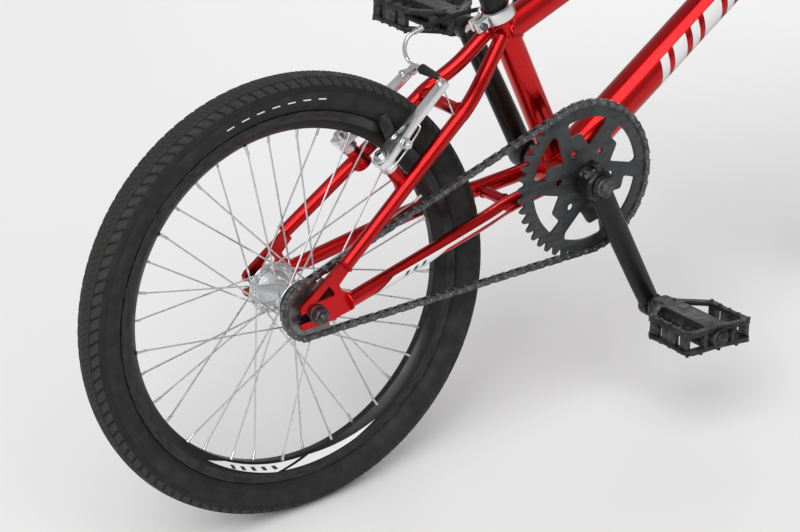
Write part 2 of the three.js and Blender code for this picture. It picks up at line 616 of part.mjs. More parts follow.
// ---------- headset, fork, stem and bars, in the steering frame (x forward, z up the axis) ----------
const UP = V(0, 0, 1);
const onAxis = (s) => V(0, 0, s);
const upright = (profile, sides) => turned(V(0, 0, 0), UP, profile, sides);
const CROWN = HEAD_LOW - CUP_STACK;
const cup = (face, away) => upright([[16.6, face - away * 8], [16.6, face + away * GAP],
  [21.5, face + away * GAP], [20.5, face + away * (CUP_STACK - GAP)],
  [bore(STEERER_R, 24), face + away * (CUP_STACK - GAP)], [bore(STEERER_R, 24), face - away * 8]], 24);
const headGroup = new THREE.Group();
headGroup.name = "head_frame";
headGroup.position.copy(steering.position);
headGroup.rotation.copy(steering.rotation);
bike.add(headGroup);
add("headset_cup_lower", cup(HEAD_LOW, -1), BLACK_METAL, headGroup);
add("headset_cup_upper", cup(HEAD_HIGH, 1), BLACK_METAL, headGroup);

const STEM_LOW = HEAD_HIGH + CUP_STACK;
const STEM_HIGH = STEM_LOW + 42;
const LEG_TOP = V(3, 47, 262);
const LEG_END = V(24, 53, 16);
const forkDropout = [[-12, 26], [14, 24], [13, -2], [9, -9], [SLOT_HALF, -13], [SLOT_HALF, 2],
  [2.5, 5.5], [-2.5, 5.5], [-SLOT_HALF, 2], [-SLOT_HALF, -13], [-10, -9]];
const forkParts = [
  rod(onAxis(CROWN - 26), onAxis(STEM_HIGH - 2), STEERER_R, 24),
  rod(onAxis(CROWN - 26), onAxis(CROWN), 18, 16),
];
for (const side of [1, -1]) {
  const shoulder = mirrorY([V(0, 2, CROWN - 12), V(1, 26, CROWN - 15), V(2, 43, CROWN - 34),
    LEG_TOP.clone()], side);
  const top = V(LEG_TOP.x, LEG_TOP.y * side, LEG_TOP.z);
  const end = V(LEG_END.x, LEG_END.y * side, LEG_END.z);
  forkParts.push(bent(rounded(shoulder, 14, 2), 13.5, 0, 10));
  forkParts.push(turned(top, end, [[0, -2], [13.5, -2], [9.5, top.distanceTo(end)],
    [0, top.distanceTo(end)]], 10));
  const [low, high] =
    side > 0 ? [FRONT_DROPOUT_IN, FRONT_DROPOUT_OUT] : [-FRONT_DROPOUT_OUT, -FRONT_DROPOUT_IN];
  forkParts.push(plate(outline(forkDropout), low, high).translate(FORK_OFFSET, 0, 0));
}
add("fork", join(...forkParts), BLACK_PAINT, steering);

const BAR_AT = V(53, 0, STEM_LOW + 24);
const barBore = rod(V(BAR_AT.x, -40, BAR_AT.z), V(BAR_AT.x, 40, BAR_AT.z), bore(BAR_R, 20), 20);
const STEM_HALF = 25;
add("stem",
  cut(
    join(
      rod(onAxis(STEM_LOW + GAP), onAxis(STEM_HIGH), 19.5, 24),
      box(8, BAR_AT.x - 0.4, -STEM_HALF, STEM_HALF, STEM_LOW + 6, STEM_HIGH),
    ),
    rod(onAxis(STEM_LOW - 10), onAxis(STEM_HIGH + 10), bore(STEERER_R, 24), 24),
    box(14, 34, -12, 12, STEM_LOW, STEM_HIGH + 5),
    barBore,
  ), BLACK_METAL, steering);
add("stem_faceplate",
  cut(box(BAR_AT.x + 0.4, BAR_AT.x + 17, -STEM_HALF, STEM_HALF, BAR_AT.z - 19, BAR_AT.z + 18), barBore),
  BLACK_METAL, steering);

const BAR_TOP = BAR_AT.z + 203;
const GRIP_START = V(BAR_AT.x, 200, BAR_TOP);
const GRIP_END = V(BAR_AT.x - 29, 362, BAR_TOP + 5);
const barHalf = [V(BAR_AT.x, 0, BAR_AT.z), V(BAR_AT.x, 50, BAR_AT.z), V(BAR_AT.x, 172, BAR_TOP), GRIP_END];
const barRoute = rounded([...mirrorY(barHalf, -1).reverse(), ...barHalf.slice(1)], 30, 3)
  .filter((p, i, all) => i === 0 || p.distanceTo(all[i - 1]) > 1);
const CROSSBAR_UP = 128;
const crossbarY = 50 + (122 * CROSSBAR_UP) / 203;
const crossbarEnd = (side) => V(BAR_AT.x, side * crossbarY, BAR_AT.z + CROSSBAR_UP);
const bars = join(bent(barRoute, BAR_R, 0, 12), rod(crossbarEnd(-1), crossbarEnd(1), 8, 10));
const hollow = [1, -1].map((side) => {
  const end = V(GRIP_END.x, GRIP_END.y * side, GRIP_END.z);
  const inward = V(GRIP_START.x, GRIP_START.y * side, GRIP_START.z).sub(end).setLength(120);
  return rod(end.clone().addScaledVector(inward, -0.05), end.clone().add(inward), BAR_R - 2.4, 12);
});
add("handlebar", cut(bars, ...hollow), BLACK_METAL, steering);

const gripDirection = GRIP_END.clone().sub(V(BAR_AT.x, 172, BAR_TOP)).normalize();
const GRIP_LENGTH = 128;
for (const [side, hand] of [[1, "left"], [-1, "right"]]) {
  const place = (d) => {
    const p = GRIP_END.clone().addScaledVector(gripDirection, d);
    return V(p.x, p.y * side, p.z);
  };
  const b = bore(BAR_R, 12) + 0.1;
  add(`grip_${hand}`,
    turned(place(-GRIP_LENGTH), place(5), [[b, 0], [21, 0], [21, 3], [15.8, 4], [15.8, GRIP_LENGTH],
      [17, GRIP_LENGTH + 1], [17, GRIP_LENGTH + 5], [0, GRIP_LENGTH + 5], [0, GRIP_LENGTH + 0.6],
      [b, GRIP_LENGTH + 0.6]], 12), RUBBER, steering);
}

// ---------- brake lever on the right of the bars ----------
const leverPlace = (d) => {
  const p = GRIP_END.clone().addScaledVector(gripDirection, d - GRIP_LENGTH);
  return V(p.x, -p.y, p.z);
};
const LEVER_AT = -14; // inboard of the grip
const leverSeat = leverPlace(LEVER_AT);
const PIVOT = V(leverSeat.x + 34, leverSeat.y - 2, leverSeat.z - 6);
const leverPin = rod(V(PIVOT.x, PIVOT.y, PIVOT.z - 5), V(PIVOT.x, PIVOT.y, PIVOT.z + 5), 2.1, 10);
add("brake_lever_mount",
  join(leverPin, cut(
    join(
      rod(leverPlace(LEVER_AT - 9), leverPlace(LEVER_AT + 9), 16.5, 16),
      box(8, 46, -9, 8, -13, 3).translate(leverSeat.x, leverSeat.y, leverSeat.z),
      rod(V(PIVOT.x + 6, PIVOT.y + 6, PIVOT.z), V(PIVOT.x + 8, PIVOT.y + 34, PIVOT.z - 1), 5, 10),
    ),
    rod(leverPlace(LEVER_AT - 40), leverPlace(LEVER_AT + 40), bore(BAR_R, 12) + 0.1, 12),
    box(-13, 16, -20, 8, -4.3, 4.3).translate(PIVOT.x, PIVOT.y, PIVOT.z),
  )), BLACK_METAL, steering);
const leverOutline = [[-6, 5], [-8, -4], [-2, -18], [2, -60], [8, -96], [15, -98], [17, -92], [10, -58],
  [9, -14], [6, 5]];
const lever = new THREE.ExtrudeGeometry(outline(leverOutline), { depth: 8, bevelEnabled: false })
  .translate(0, 0, -4)
  .translate(PIVOT.x, PIVOT.y, PIVOT.z);
add("brake_lever", cut(lever, rod(V(PIVOT.x, PIVOT.y, PIVOT.z - 20), V(PIVOT.x, PIVOT.y, PIVOT.z + 20),
  2.6, 10)), POLISHED, steering);

// ---------- rear rim brake ----------
const ARM_LENGTH = { left: 105, right: 112 };
const ARM_AT = -39; // middle of the arms behind the stay
const PAD_AT = 27; // height of the pads above the pivots
const PAD_FACE = 16;
const PAD_TURN = 15.4; // turns the pads along the rim
const ARM_LEAN = 9; // how far the arms lean in at the top
for (const [side, hand] of [[1, "left"], [-1, "right"]]) {
  const y = side * PIVOT_Y;
  const top = ARM_LENGTH[hand];
  const leaning = [[-10, -11], [10, -11], [12, 4], [9, 34], [6, 60], [5, top], [-5, top], [-6, 60], [-8, 40],
    [-12, 4]].map(([v, w]) => [side * (PIVOT_Y + v - (ARM_LEAN * w) / top), w]);
  const armPlate = plate(outline(leaning), -4.5, 4.5)
    .rotateZ(Math.PI / 2)
    .translate(ARM_AT, 0, 0);
  const stud = (from, to, r) => rod(V(ARM_AT, side * from, PAD_AT), V(ARM_AT, side * to, PAD_AT), r, 10);
  add(`brake_arm_${hand}`,
    cut(
      join(armPlate, rod(V(BOSS_TOP - GAP, y, 0), V(BOSS_TOP - 22.5, y, 0), 10, 14)),
      rod(V(BOSS_TOP + 5, y, 0), V(-80, y, 0), bore(4, 12) + 0.1, 12),
      stud(10, 70, 3.8),
    ), POLISHED, brakeFrame);
  const [padLow, padHigh] = side > 0 ? [PAD_FACE, PAD_FACE + 9] : [-PAD_FACE - 9, -PAD_FACE];
  add(`brake_pad_${hand}`,
    join(
      box(-28, 26, padLow, padHigh, -4, 4).rotateY(-rad(PAD_TURN)).translate(ARM_AT, 0, PAD_AT),
      stud(PAD_FACE + 8, 57, 3.1)), PLASTIC, brakeFrame);
}

// ---------- cable ----------
const HOUSING_R = 2.5;
const NOODLE = [V(-294, 14, 450), V(-294, 22, 450), V(-295, 40, 453), V(-297, 43, 466), V(-291, 42, 480),
  V(-272, 39, 486)];
add("brake_noodle", bent(rounded(NOODLE, 12, 2), 2.4, 0, 6), STEEL);
const topTubeSide = (x, y) => V(x, y, topTubeStart.z + (x - topTubeStart.x) * Math.tan(rad(TOP_TUBE_SLOPE)));
const REAR_ROUTE = [V(-271, 38.9, 486.2), V(-240, 33, 491), V(-212, 26, 493), V(-172, 21, 489),
  topTubeSide(-130, 20.2), topTubeSide(60, 20.2), topTubeSide(286, 20.2)];
add("brake_cable_rear", bent(rounded(REAR_ROUTE, 24, 2), HOUSING_R, 0, 6), RUBBER);
steering.updateMatrixWorld(true);
const barrelEnd = V(PIVOT.x + 8, PIVOT.y + 36, PIVOT.z - 1).applyMatrix4(steering.matrixWorld);
const FRONT_ROUTE = new THREE.CatmullRomCurve3([topTubeSide(286.5, 20.2), topTubeSide(320, 25),
  V(372, 38, 690), V(432, 36, 760), V(462, -20, 838), V(430, -110, 888), V(barrelEnd.x, -160, barrelEnd.z),
  barrelEnd], false, "centripetal");
add("brake_cable_front", bent(FRONT_ROUTE.getPoints(20), HOUSING_R, 0, 6), RUBBER);

export default bike;
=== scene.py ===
"""A BMX race bike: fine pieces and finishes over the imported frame. Lengths are in mm until piece()."""
import json
import math

import bmesh
import bpy
from mathutils import Matrix, Vector


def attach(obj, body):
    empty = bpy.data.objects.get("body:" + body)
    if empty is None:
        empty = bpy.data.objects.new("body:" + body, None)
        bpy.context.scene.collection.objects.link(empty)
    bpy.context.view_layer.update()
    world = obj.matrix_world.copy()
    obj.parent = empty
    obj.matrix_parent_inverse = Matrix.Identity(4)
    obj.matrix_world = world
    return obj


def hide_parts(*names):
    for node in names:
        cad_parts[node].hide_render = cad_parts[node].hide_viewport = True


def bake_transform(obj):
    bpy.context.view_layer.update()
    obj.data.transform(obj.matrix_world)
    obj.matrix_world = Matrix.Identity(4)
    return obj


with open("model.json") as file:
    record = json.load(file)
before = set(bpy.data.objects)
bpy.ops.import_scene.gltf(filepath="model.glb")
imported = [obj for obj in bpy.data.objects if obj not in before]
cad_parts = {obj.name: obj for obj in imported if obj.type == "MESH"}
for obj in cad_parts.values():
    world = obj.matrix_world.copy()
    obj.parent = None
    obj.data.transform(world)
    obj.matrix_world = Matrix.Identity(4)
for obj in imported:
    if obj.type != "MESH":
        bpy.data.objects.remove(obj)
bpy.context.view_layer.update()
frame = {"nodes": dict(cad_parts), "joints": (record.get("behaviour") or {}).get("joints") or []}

# ---------- layout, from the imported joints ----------
MM = 0.001
X, Y, Z = Vector((1, 0, 0)), Vector((0, 1, 0)), Vector((0, 0, 1))
joints = {j["name"]: j for j in frame["joints"]}
scene = bpy.context.scene


def joint_at(name):
    return Vector(joints[name]["pos_m"]) / MM


def joint_axis(name):
    return Vector(joints[name]["axis"]).normalized()


def polar(degrees, length=1.0):
    a = math.radians(degrees)
    return Vector((math.cos(a), 0, math.sin(a))) * length


REAR = joint_at("rear_wheel_spin")
FRONT = joint_at("front_wheel_spin")
BB = joint_at("crank_spin")
STEER_FOOT = joint_at("steering_turn")
STEER_UP = joint_axis("steering_turn")
STEER_FORWARD = Vector((STEER_UP.z, 0, -STEER_UP.x))
SEAT_AXIS = joint_axis("seat_height")
PIVOT = joint_at("brake_lever_pull")
BRAKE_OUT = joint_axis("brake_arm_left_close")
BRAKE_UP = Vector((-BRAKE_OUT.z, 0, BRAKE_OUT.x))
BRAKE_FOOT = Vector((joint_at("brake_arm_left_close").x, 0, joint_at("brake_arm_left_close").z))
PIVOT_Y = joint_at("brake_arm_left_close").y


def on_seat(s):
    return BB + SEAT_AXIS * s


def on_steer(x, y, z):
    return STEER_FOOT + STEER_FORWARD * x + Y * y + STEER_UP * z


def on_brake(x, y, z):
    return BRAKE_FOOT + BRAKE_OUT * x + Y * y + BRAKE_UP * z


def meets(start, slope, axis_start, axis):
    """Distance along an axis in the centre plane at which a sloping line meets it."""
    d, gap = polar(slope), start - axis_start
    return (gap.x * d.z - gap.z * d.x) / (axis.x * d.z - axis.z * d.x)


SEAT_TUBE_TOP, SEAT_TUBE_R, POST_R = 224, 15.9, 13.6
TOP_TUBE_R, DOWN_TUBE_R, HEAD_R, SHELL_R = 17, 22.4, 22, 25
CHAINSTAY_R, SEATSTAY_R = 9.5, 8.5
TOP_TUBE_START = on_seat(194)
TOP_MEETS = meets(TOP_TUBE_START, 18.5, STEER_FOOT, STEER_UP)
DOWN_MEETS = meets(BB, 30.8, STEER_FOOT, STEER_UP)
TOP_TUBE_END, DOWN_TUBE_END = on_steer(0, 0, TOP_MEETS), on_steer(0, 0, DOWN_MEETS)
HEAD_LOW, HEAD_HIGH = DOWN_MEETS - 27, TOP_MEETS + 23
CUP_STACK = 11.5
CROWN = HEAD_LOW - CUP_STACK
STEM_LOW = HEAD_HIGH + CUP_STACK
STEM_HIGH = STEM_LOW + 42
BAR_X, BAR_Z, BAR_R = 53, STEM_LOW + 24, 11.1
BAR_RISE, CROSSBAR_Z, GRIP_LENGTH = 203, 128, 128
BAR_TOP = BAR_Z + BAR_RISE
CHAIN_Y = -46
HANDS = ((1, "left"), (-1, "right"))
PITCH, RING_TEETH, COG_TEETH = 12.7, 44, 16


# ---------- camera, light and floor ----------
VIEW_TURN, VIEW_DIP, VIEW_ROLL = 56.35, 25.4, -4.67  # degrees; the photograph's direction
CAMERA_AT = (-1.817, -2.349, 1.502)
FLOOR_REACH = 30


def add(name, data):
    obj = bpy.data.objects.new(name, data)
    scene.collection.objects.link(obj)
    return obj


def aimed(direction):
    return Vector(direction).to_track_quat("-Z", "Y").to_euler()


def place_camera():
    turn, dip, roll = (math.radians(d) for d in (VIEW_TURN, VIEW_DIP, VIEW_ROLL))
    ahead = Vector((math.cos(turn) * math.cos(dip), math.sin(turn) * math.cos(dip), -math.sin(dip)))
    right = ahead.cross(Z).normalized()
    up = right.cross(ahead)
    c, s = math.cos(roll), math.sin(roll)
    right, up = right * c + up * s, up * c - right * s
    data = bpy.data.cameras.new("camera")
    data.lens, data.shift_x, data.shift_y = 123.8, -0.099, 0.0425
    camera = add("camera", data)
    turned = Matrix((right, up, -ahead)).transposed().to_4x4()
    camera.matrix_world = Matrix.Translation(CAMERA_AT) @ turned
    scene.camera = camera


def add_light(name, place, aim, size, power):
    data = bpy.data.lights.new(name, "AREA")
    data.shape, data.size, data.size_y, data.energy = "RECTANGLE", size[0], size[1], power
    light = add(name, data)
    light.location = place
    light.rotation_euler = aimed(Vector(aim) - Vector(place))


def light_studio():
    world = bpy.data.worlds.new("studio")
    world.use_nodes = True
    sky = world.node_tree.nodes["Background"].inputs
    sky["Color"].default_value, sky["Strength"].default_value = (1, 1, 1, 1), 0.4
    scene.world = world
    scene.view_settings.view_transform = "Standard"
    sun = bpy.data.lights.new("broad_sun", "SUN")
    sun.energy, sun.angle = 2.1, 1.1
    add("broad_sun", sun).rotation_euler = aimed((0.42, 0.5, -0.78))
    add_light("key_box", (-2.2, -1.8, 1.9), (-0.2, 0, 0.35), (0.7, 1.6), 16)
    add_light("rim_strip", (1.6, 1.6, 1.7), (0, 0, 0.4), (0.4, 2.0), 12)


def lay_floor():
    bm = bmesh.new()
    bmesh.ops.create_grid(bm, x_segments=2, y_segments=2, size=FLOOR_REACH)
    mesh = bpy.data.meshes.new("floor")
    bm.to_mesh(mesh)
    bm.free()
    floor = add("floor", mesh)
    floor.location.z = -0.0005  # half a millimetre under the tyres
    paper = Finish("floor_paper", (0.8, 0.8, 0.8), 0, 0.95)
    paper.input("Specular IOR Level", 0.1)
    mesh.materials.append(paper.material)


# ---------- finishes ----------
class Finish:
    """A principled material built up from procedural layers."""

    def __init__(self, name, colour, metallic, roughness):
        self.material = bpy.data.materials.new(name)
        self.material.use_nodes = True
        self.tree = self.material.node_tree
        self.shader = self.tree.nodes["Principled BSDF"]
        self.place = self.tree.nodes.new("ShaderNodeTexCoord").outputs["Object"]
        self.input("Base Color", (*colour, 1))
        self.input("Metallic", metallic)
        self.input("Roughness", roughness)

    def input(self, socket, value):
        self.shader.inputs[socket].default_value = value

    def node(self, kind, inputs=(), **settings):
        node = self.tree.nodes.new(kind)
        for key, value in settings.items():
            setattr(node, key, value)
        for key, value in dict(inputs).items():
            if isinstance(value, bpy.types.NodeSocket):
                self.tree.links.new(value, node.inputs[key])
            else:
                node.inputs[key].default_value = value
        return node

    def stretched(self, scale):
        return self.node("ShaderNodeMapping", {"Vector": self.place, "Scale": scale}).outputs[0]

    def noise(self, scale, detail=3, stretch=None):
        at = self.stretched(stretch) if stretch else self.place
        inputs = {"Vector": at, "Scale": scale, "Detail": detail}
        return self.node("ShaderNodeTexNoise", inputs).outputs[0]

    def cells(self, scale, feature="F1"):
        inputs = {"Vector": self.place, "Scale": scale}
        return self.node("ShaderNodeTexVoronoi", inputs, feature=feature).outputs["Distance"]

    def level(self, value, low, high, to_low=0.0, to_high=1.0):
        inputs = {"Value": value, "From Min": low, "From Max": high, "To Min": to_low, "To Max": to_high}
        return self.node("ShaderNodeMapRange", inputs).outputs[0]

    def math(self, operation, a, b=0.0):
        return self.node("ShaderNodeMath", {0: a, 1: b}, operation=operation).outputs[0]

    def mix(self, share, a, b):
        colours = [(*c, 1) if isinstance(c, tuple) else c for c in (a, b)]
        inputs = {0: share, 6: colours[0], 7: colours[1]}
        return self.node("ShaderNodeMix", inputs, data_type="RGBA").outputs[2]

    def set(self, socket, value):
        self.tree.links.new(value, self.shader.inputs[socket])

    def paint(self, share, a, b):
        self.set("Base Color", self.mix(share, a, b))

    def painted(self):
        return self.shader.inputs["Base Color"].links[0].from_socket

    def rough(self, scale, low, high, detail=4):
        self.set("Roughness", self.level(self.noise(scale, detail), 0.3, 0.7, low, high))

    def bump(self, height, strength, distance):
        inputs = {"Height": height, "Strength": strength, "Distance": distance}
        normal = self.shader.inputs["Normal"]
        if normal.is_linked:
            inputs["Normal"] = normal.links[0].from_socket
        self.set("Normal", self.node("ShaderNodeBump", inputs).outputs[0])

    def edges(self, low=0.53, high=0.62):
        """0 on flat ground and 1 on sharp edges, where paint wears."""
        pointy = self.node("ShaderNodeNewGeometry").outputs["Pointiness"]
        return self.level(pointy, low, high)


def candy_red():
    f = Finish("candy_red", (0.5, 0.004, 0.006), 1.0, 0.3)
    depth = f.level(f.noise(9, 2), 0.35, 0.65)
    colour = f.mix(depth, (0.44, 0.003, 0.005), (0.58, 0.006, 0.008))
    flake = f.level(f.cells(2600), 0.0, 0.5)
    colour = f.mix(f.math("MULTIPLY", flake, 0.08), colour, (0.85, 0.04, 0.04))
    dust = f.math("MULTIPLY", f.level(f.noise(55, 5), 0.62, 0.8), 0.15)
    f.paint(dust, colour, (0.3, 0.05, 0.045))
    f.set("Roughness", f.level(f.noise(30, 4), 0.3, 0.8, 0.24, 0.38))
    f.bump(f.noise(420, 2), 0.05, 0.0004)
    f.input("Coat Weight", 0.3)
    f.input("Coat Roughness", 0.08)
    return f.material


def black_paint():
    f = Finish("black_paint", (0.012, 0.012, 0.013), 0.0, 0.32)
    scuff = f.level(f.noise(240, 6, (1, 1, 6)), 0.66, 0.8)
    worn = f.math("MULTIPLY", f.edges(), f.level(f.noise(90, 4), 0.45, 0.6))
    colour = f.mix(f.math("MULTIPLY", scuff, 0.3), (0.004, 0.004, 0.0043), (0.03, 0.03, 0.031))
    f.paint(f.math("MULTIPLY", worn, 0.5), colour, (0.16, 0.16, 0.17))
    f.rough(60, 0.26, 0.46)
    f.bump(f.noise(700, 2), 0.08, 0.0003)
    f.input("Specular IOR Level", 0.3)
    f.input("Coat Weight", 0.12)
    f.input("Coat Roughness", 0.2)
    return f.material


def turned_metal(name, look, streaks, tones, rough, bump):
    """Fine lines left by a lathe or a brush: look is colour, metallic and roughness."""
    f = Finish(name, *look)
    lines = f.noise(*streaks)
    f.paint(f.level(lines, 0.3, 0.7), *tones)
    f.rough(*rough)
    f.bump(lines, bump, 0.0002)
    return f


def black_anodised():
    look, tones = ((0.016, 0.017, 0.018), 0.75, 0.4), ((0.013, 0.013, 0.014), (0.035, 0.035, 0.037))
    return turned_metal("black_anodised", look, (90, 4, (1, 14, 1)), tones, (140, 0.34, 0.52), 0.05).material


def satin_ring():
    look, tones = ((0.045, 0.047, 0.05), 0.6, 0.42), ((0.03, 0.032, 0.034), (0.055, 0.058, 0.06))
    f = turned_metal("satin_ring", look, (60, 4, (1, 18, 1)), tones, (140, 0.34, 0.5), 0.06)
    f.paint(f.math("MULTIPLY", f.edges(0.52, 0.6), 0.5), f.painted(), (0.2, 0.2, 0.2))
    return f.material


def polished_alloy():
    f = Finish("polished_alloy", (0.82, 0.83, 0.84), 1.0, 0.32)
    haze = f.level(f.noise(40, 3), 0.35, 0.7)
    f.paint(haze, (0.84, 0.85, 0.86), (0.74, 0.75, 0.76))
    f.rough(120, 0.26, 0.38, 3)
    f.bump(f.noise(1400, 2), 0.03, 0.0001)
    return f.material


def bright_steel():
    f = Finish("bright_steel", (0.62, 0.63, 0.64), 1.0, 0.28)
    spots = f.level(f.noise(180, 5), 0.55, 0.75)
    f.paint(spots, (0.66, 0.67, 0.68), (0.4, 0.4, 0.41))
    f.rough(120, 0.22, 0.42, 3)
    return f.material


def oiled_steel():
    f = Finish("oiled_steel", (0.06, 0.06, 0.062), 0.9, 0.38)
    grime = f.level(f.noise(150, 5), 0.4, 0.65)
    worn = f.math("MULTIPLY", f.edges(0.52, 0.6), 0.6)
    colour = f.mix(grime, (0.085, 0.085, 0.088), (0.022, 0.021, 0.02))
    f.paint(worn, colour, (0.32, 0.32, 0.33))
    f.set("Roughness", f.level(grime, 0.0, 1.0, 0.28, 0.55))
    f.bump(f.noise(600, 3), 0.1, 0.0003)
    return f.material


def moulded_plastic():
    f = Finish("moulded_plastic", (0.014, 0.014, 0.015), 0.0, 0.5)
    worn = f.math("MULTIPLY", f.edges(0.51, 0.58), f.level(f.noise(120, 4), 0.4, 0.6))
    dust = f.math("MULTIPLY", f.level(f.noise(60, 5), 0.5, 0.75), 0.4)
    colour = f.mix(dust, (0.005, 0.005, 0.0055), (0.022, 0.021, 0.02))
    f.paint(worn, colour, (0.05, 0.05, 0.05))
    f.input("Specular IOR Level", 0.35)
    f.rough(90, 0.4, 0.62)
    f.bump(f.cells(1500), 0.15, 0.0003)
    return f.material


def soft_rubber(name, shade, grain, strength):
    f = Finish(name, (shade,) * 3, 0.0, 0.75)
    dust = f.level(f.noise(45, 6), 0.45, 0.75)
    f.paint(dust, (shade,) * 3, (shade * 2.2, shade * 2.15, shade * 2.05))
    f.rough(80, 0.6, 0.85)
    f.bump(f.noise(grain, 3), strength, 0.0004)
    f.input("Specular IOR Level", 0.35)
    return f


def tyre_rubber():
    """The crown carries fine slanted file cuts, drawn in the tyre's own round-and-across coordinates."""
    f = soft_rubber("tyre_rubber", 0.011, 500, 0.2)
    relief = f.node("ShaderNodeAttribute", attribute_name="relief").outputs["Fac"]
    side = f.painted()
    # Painted shade: the tread's grooves are coloured darker than the block tops, following the relief
    # attribute.
    crown_with_groove_shade = f.mix(f.level(relief, 0.15, 0.85), (0.004, 0.004, 0.004), (0.03, 0.03, 0.029))
    treaded = f.level(relief, -0.5, -0.4, 1.0, 0.0)
    f.paint(treaded, crown_with_groove_shade, side)
    across = f.node("ShaderNodeSeparateXYZ", {0: f.node("ShaderNodeUVMap").outputs[0]})
    middle = f.math("ABSOLUTE", f.math("SUBTRACT", across.outputs["Y"], 0.5))
    turns = f.math("MULTIPLY", across.outputs["X"], 2 * math.pi * 224)
    slant = f.math("MULTIPLY", middle, 120)
    cuts = f.level(f.math("SINE", f.math("ADD", turns, slant)), -0.2, 0.5)
    crown = f.level(middle, 0.16, 0.13)
    f.bump(f.math("MULTIPLY", cuts, crown), 0.9, 0.0012)
    rings = f.math("SINE", f.math("MULTIPLY", middle, 420))
    f.bump(f.math("MULTIPLY", f.level(rings, 0.2, 1.0), f.level(middle, 0.3, 0.34)), 0.25, 0.0004)
    return f.material


def grained_vinyl():
    f = soft_rubber("grained_vinyl", 0.014, 300, 0.1)
    f.rough(30, 0.42, 0.6)
    f.bump(f.cells(620), 0.35, 0.0005)
    f.bump(f.cells(190, "F2"), 0.15, 0.0006)
    return f.material


def brake_track():
    look, tones = ((0.012, 0.012, 0.012), 0.4, 0.34), ((0.006, 0.006, 0.006), (0.03, 0.03, 0.031))
    return turned_metal("brake_track", look, (70, 5, (1, 16, 1)), tones, (300, 0.28, 0.46), 0.12).material


def printed(name, colour):
    f = Finish(name, colour, 0.0, 0.35)
    chip = f.level(f.noise(260, 5), 0.7, 0.74)
    f.paint(chip, colour, tuple(c * 0.4 for c in colour))
    f.rough(110, 0.25, 0.45, 3)
    f.input("Coat Weight", 0.5)
    return f.material


# ---------- shape helpers ----------
def across(direction):
    """Two unit vectors square to a direction; the first is level where that is possible."""
    d = direction.normalized()
    side = d.cross(Z) if abs(d.z) < 0.98 else d.cross(Y)
    side.normalize()
    return side, d.cross(side)


def circle(r, count):
    return [(r * math.cos(a), r * math.sin(a)) for a in (2 * math.pi * i / count for i in range(count))]


def loft(bm, rings, loop=False, uv=False, capped=True):
    rows = [[bm.verts.new(p) for p in ring] for ring in rings]
    count, last = len(rows[0]), len(rows) - 1
    pairs = list(zip(rows, rows[1:])) + ([(rows[-1], rows[0])] if loop else [])
    layer = bm.loops.layers.uv.verify() if uv else None
    for k, (a, b) in enumerate(pairs):
        for i in range(count):
            j = (i + 1) % count
            face = bm.faces.new((a[i], a[j], b[j], b[i]))
            if uv:
                corners = ((i, k), (i + 1, k), (i + 1, k + 1), (i, k + 1))
                for corner, (u, v) in zip(face.loops, corners):
                    corner[layer].uv = (u / count, v / last)
    if capped and not loop:
        bm.faces.new(rows[0][::-1])
        bm.faces.new(rows[-1])


def lathe(bm, start, axis, profile, sides=48, loop=False, uv=False):
    """Turns [radius, distance] pairs about an axis. The ends are closed unless the profile is a loop."""
    u, v = across(axis)
    d = axis.normalized()
    rings = []
    for r, h in profile:
        middle = start + d * h
        rings.append([middle + u * a + v * b for a, b in circle(max(r, 0.01), sides)])
    loft(bm, rings, loop, uv)


def rod(bm, start, end, r, sides=24, soft=0.0):
    length = (end - start).length
    c = min(soft, length / 3, r * 0.8)
    lathe(bm, start, end - start, both_ends([(r - c, 0), (r, c)] if c else [(r, 0)], length), sides)


def sweep(bm, points, size, sides=24, loop=False, section=None):
    """Sweeps a round or given section along points. size is a radius, or a function of the way along."""
    points = [Vector(p) for p in points]
    count = len(points)
    rings, side = [], None
    for i, p in enumerate(points):
        before = points[i - 1] if loop or i else p
        after = points[(i + 1) % count] if loop or i < count - 1 else p
        tangent = (after - before).normalized()
        if side is None:
            side = across(tangent)[0]
        side = (side - tangent * side.dot(tangent)).normalized()
        up = tangent.cross(side)
        r = size(i / (count - 1)) if callable(size) else size
        rings.append([p + (side * a + up * b) * r for a, b in section or circle(1, sides)])
    loft(bm, rings, loop)


def rounded(points, radius, steps=8):
    """The same bends as the CAD routes, with more steps."""
    points = [Vector(p) for p in points]
    out = [points[0]]
    for a, p, b in zip(points, points[1:], points[2:]):
        reach = min(radius, (a - p).length * 0.48, (b - p).length * 0.48)
        start, end = p + (a - p).normalized() * reach, p + (b - p).normalized() * reach
        for i in range(steps + 1):
            t = i / steps
            out.append(start * (1 - t) ** 2 + p * 2 * t * (1 - t) + end * t * t)
    return out + [points[-1]]


def flowing(points, steps=8):
    """A smooth curve through the points."""
    p = [Vector(q) for q in points]
    p = [p[0] * 2 - p[1], *p, p[-1] * 2 - p[-2]]
    out = []
    for a, b, c, d in zip(p, p[1:], p[2:], p[3:]):
        for i in range(steps):
            t = i / steps
            out.append(((b * 2) + (c - a) * t + (a * 2 - b * 5 + c * 4 - d) * t * t
                        + (b * 3 - a - c * 3 + d) * t ** 3) * 0.5)
    return out + [p[-2]]


def mirrored(points, side):
    return [Vector((p[0], p[1] * side, p[2])) for p in points]


def basis(origin, a, b):
    """Maps plate coordinates (a, b, height) to a place on the bike."""
    a, b = a.normalized(), b.normalized()
    return Matrix.Translation(origin) @ Matrix((a, b, a.cross(b))).transposed().to_4x4()


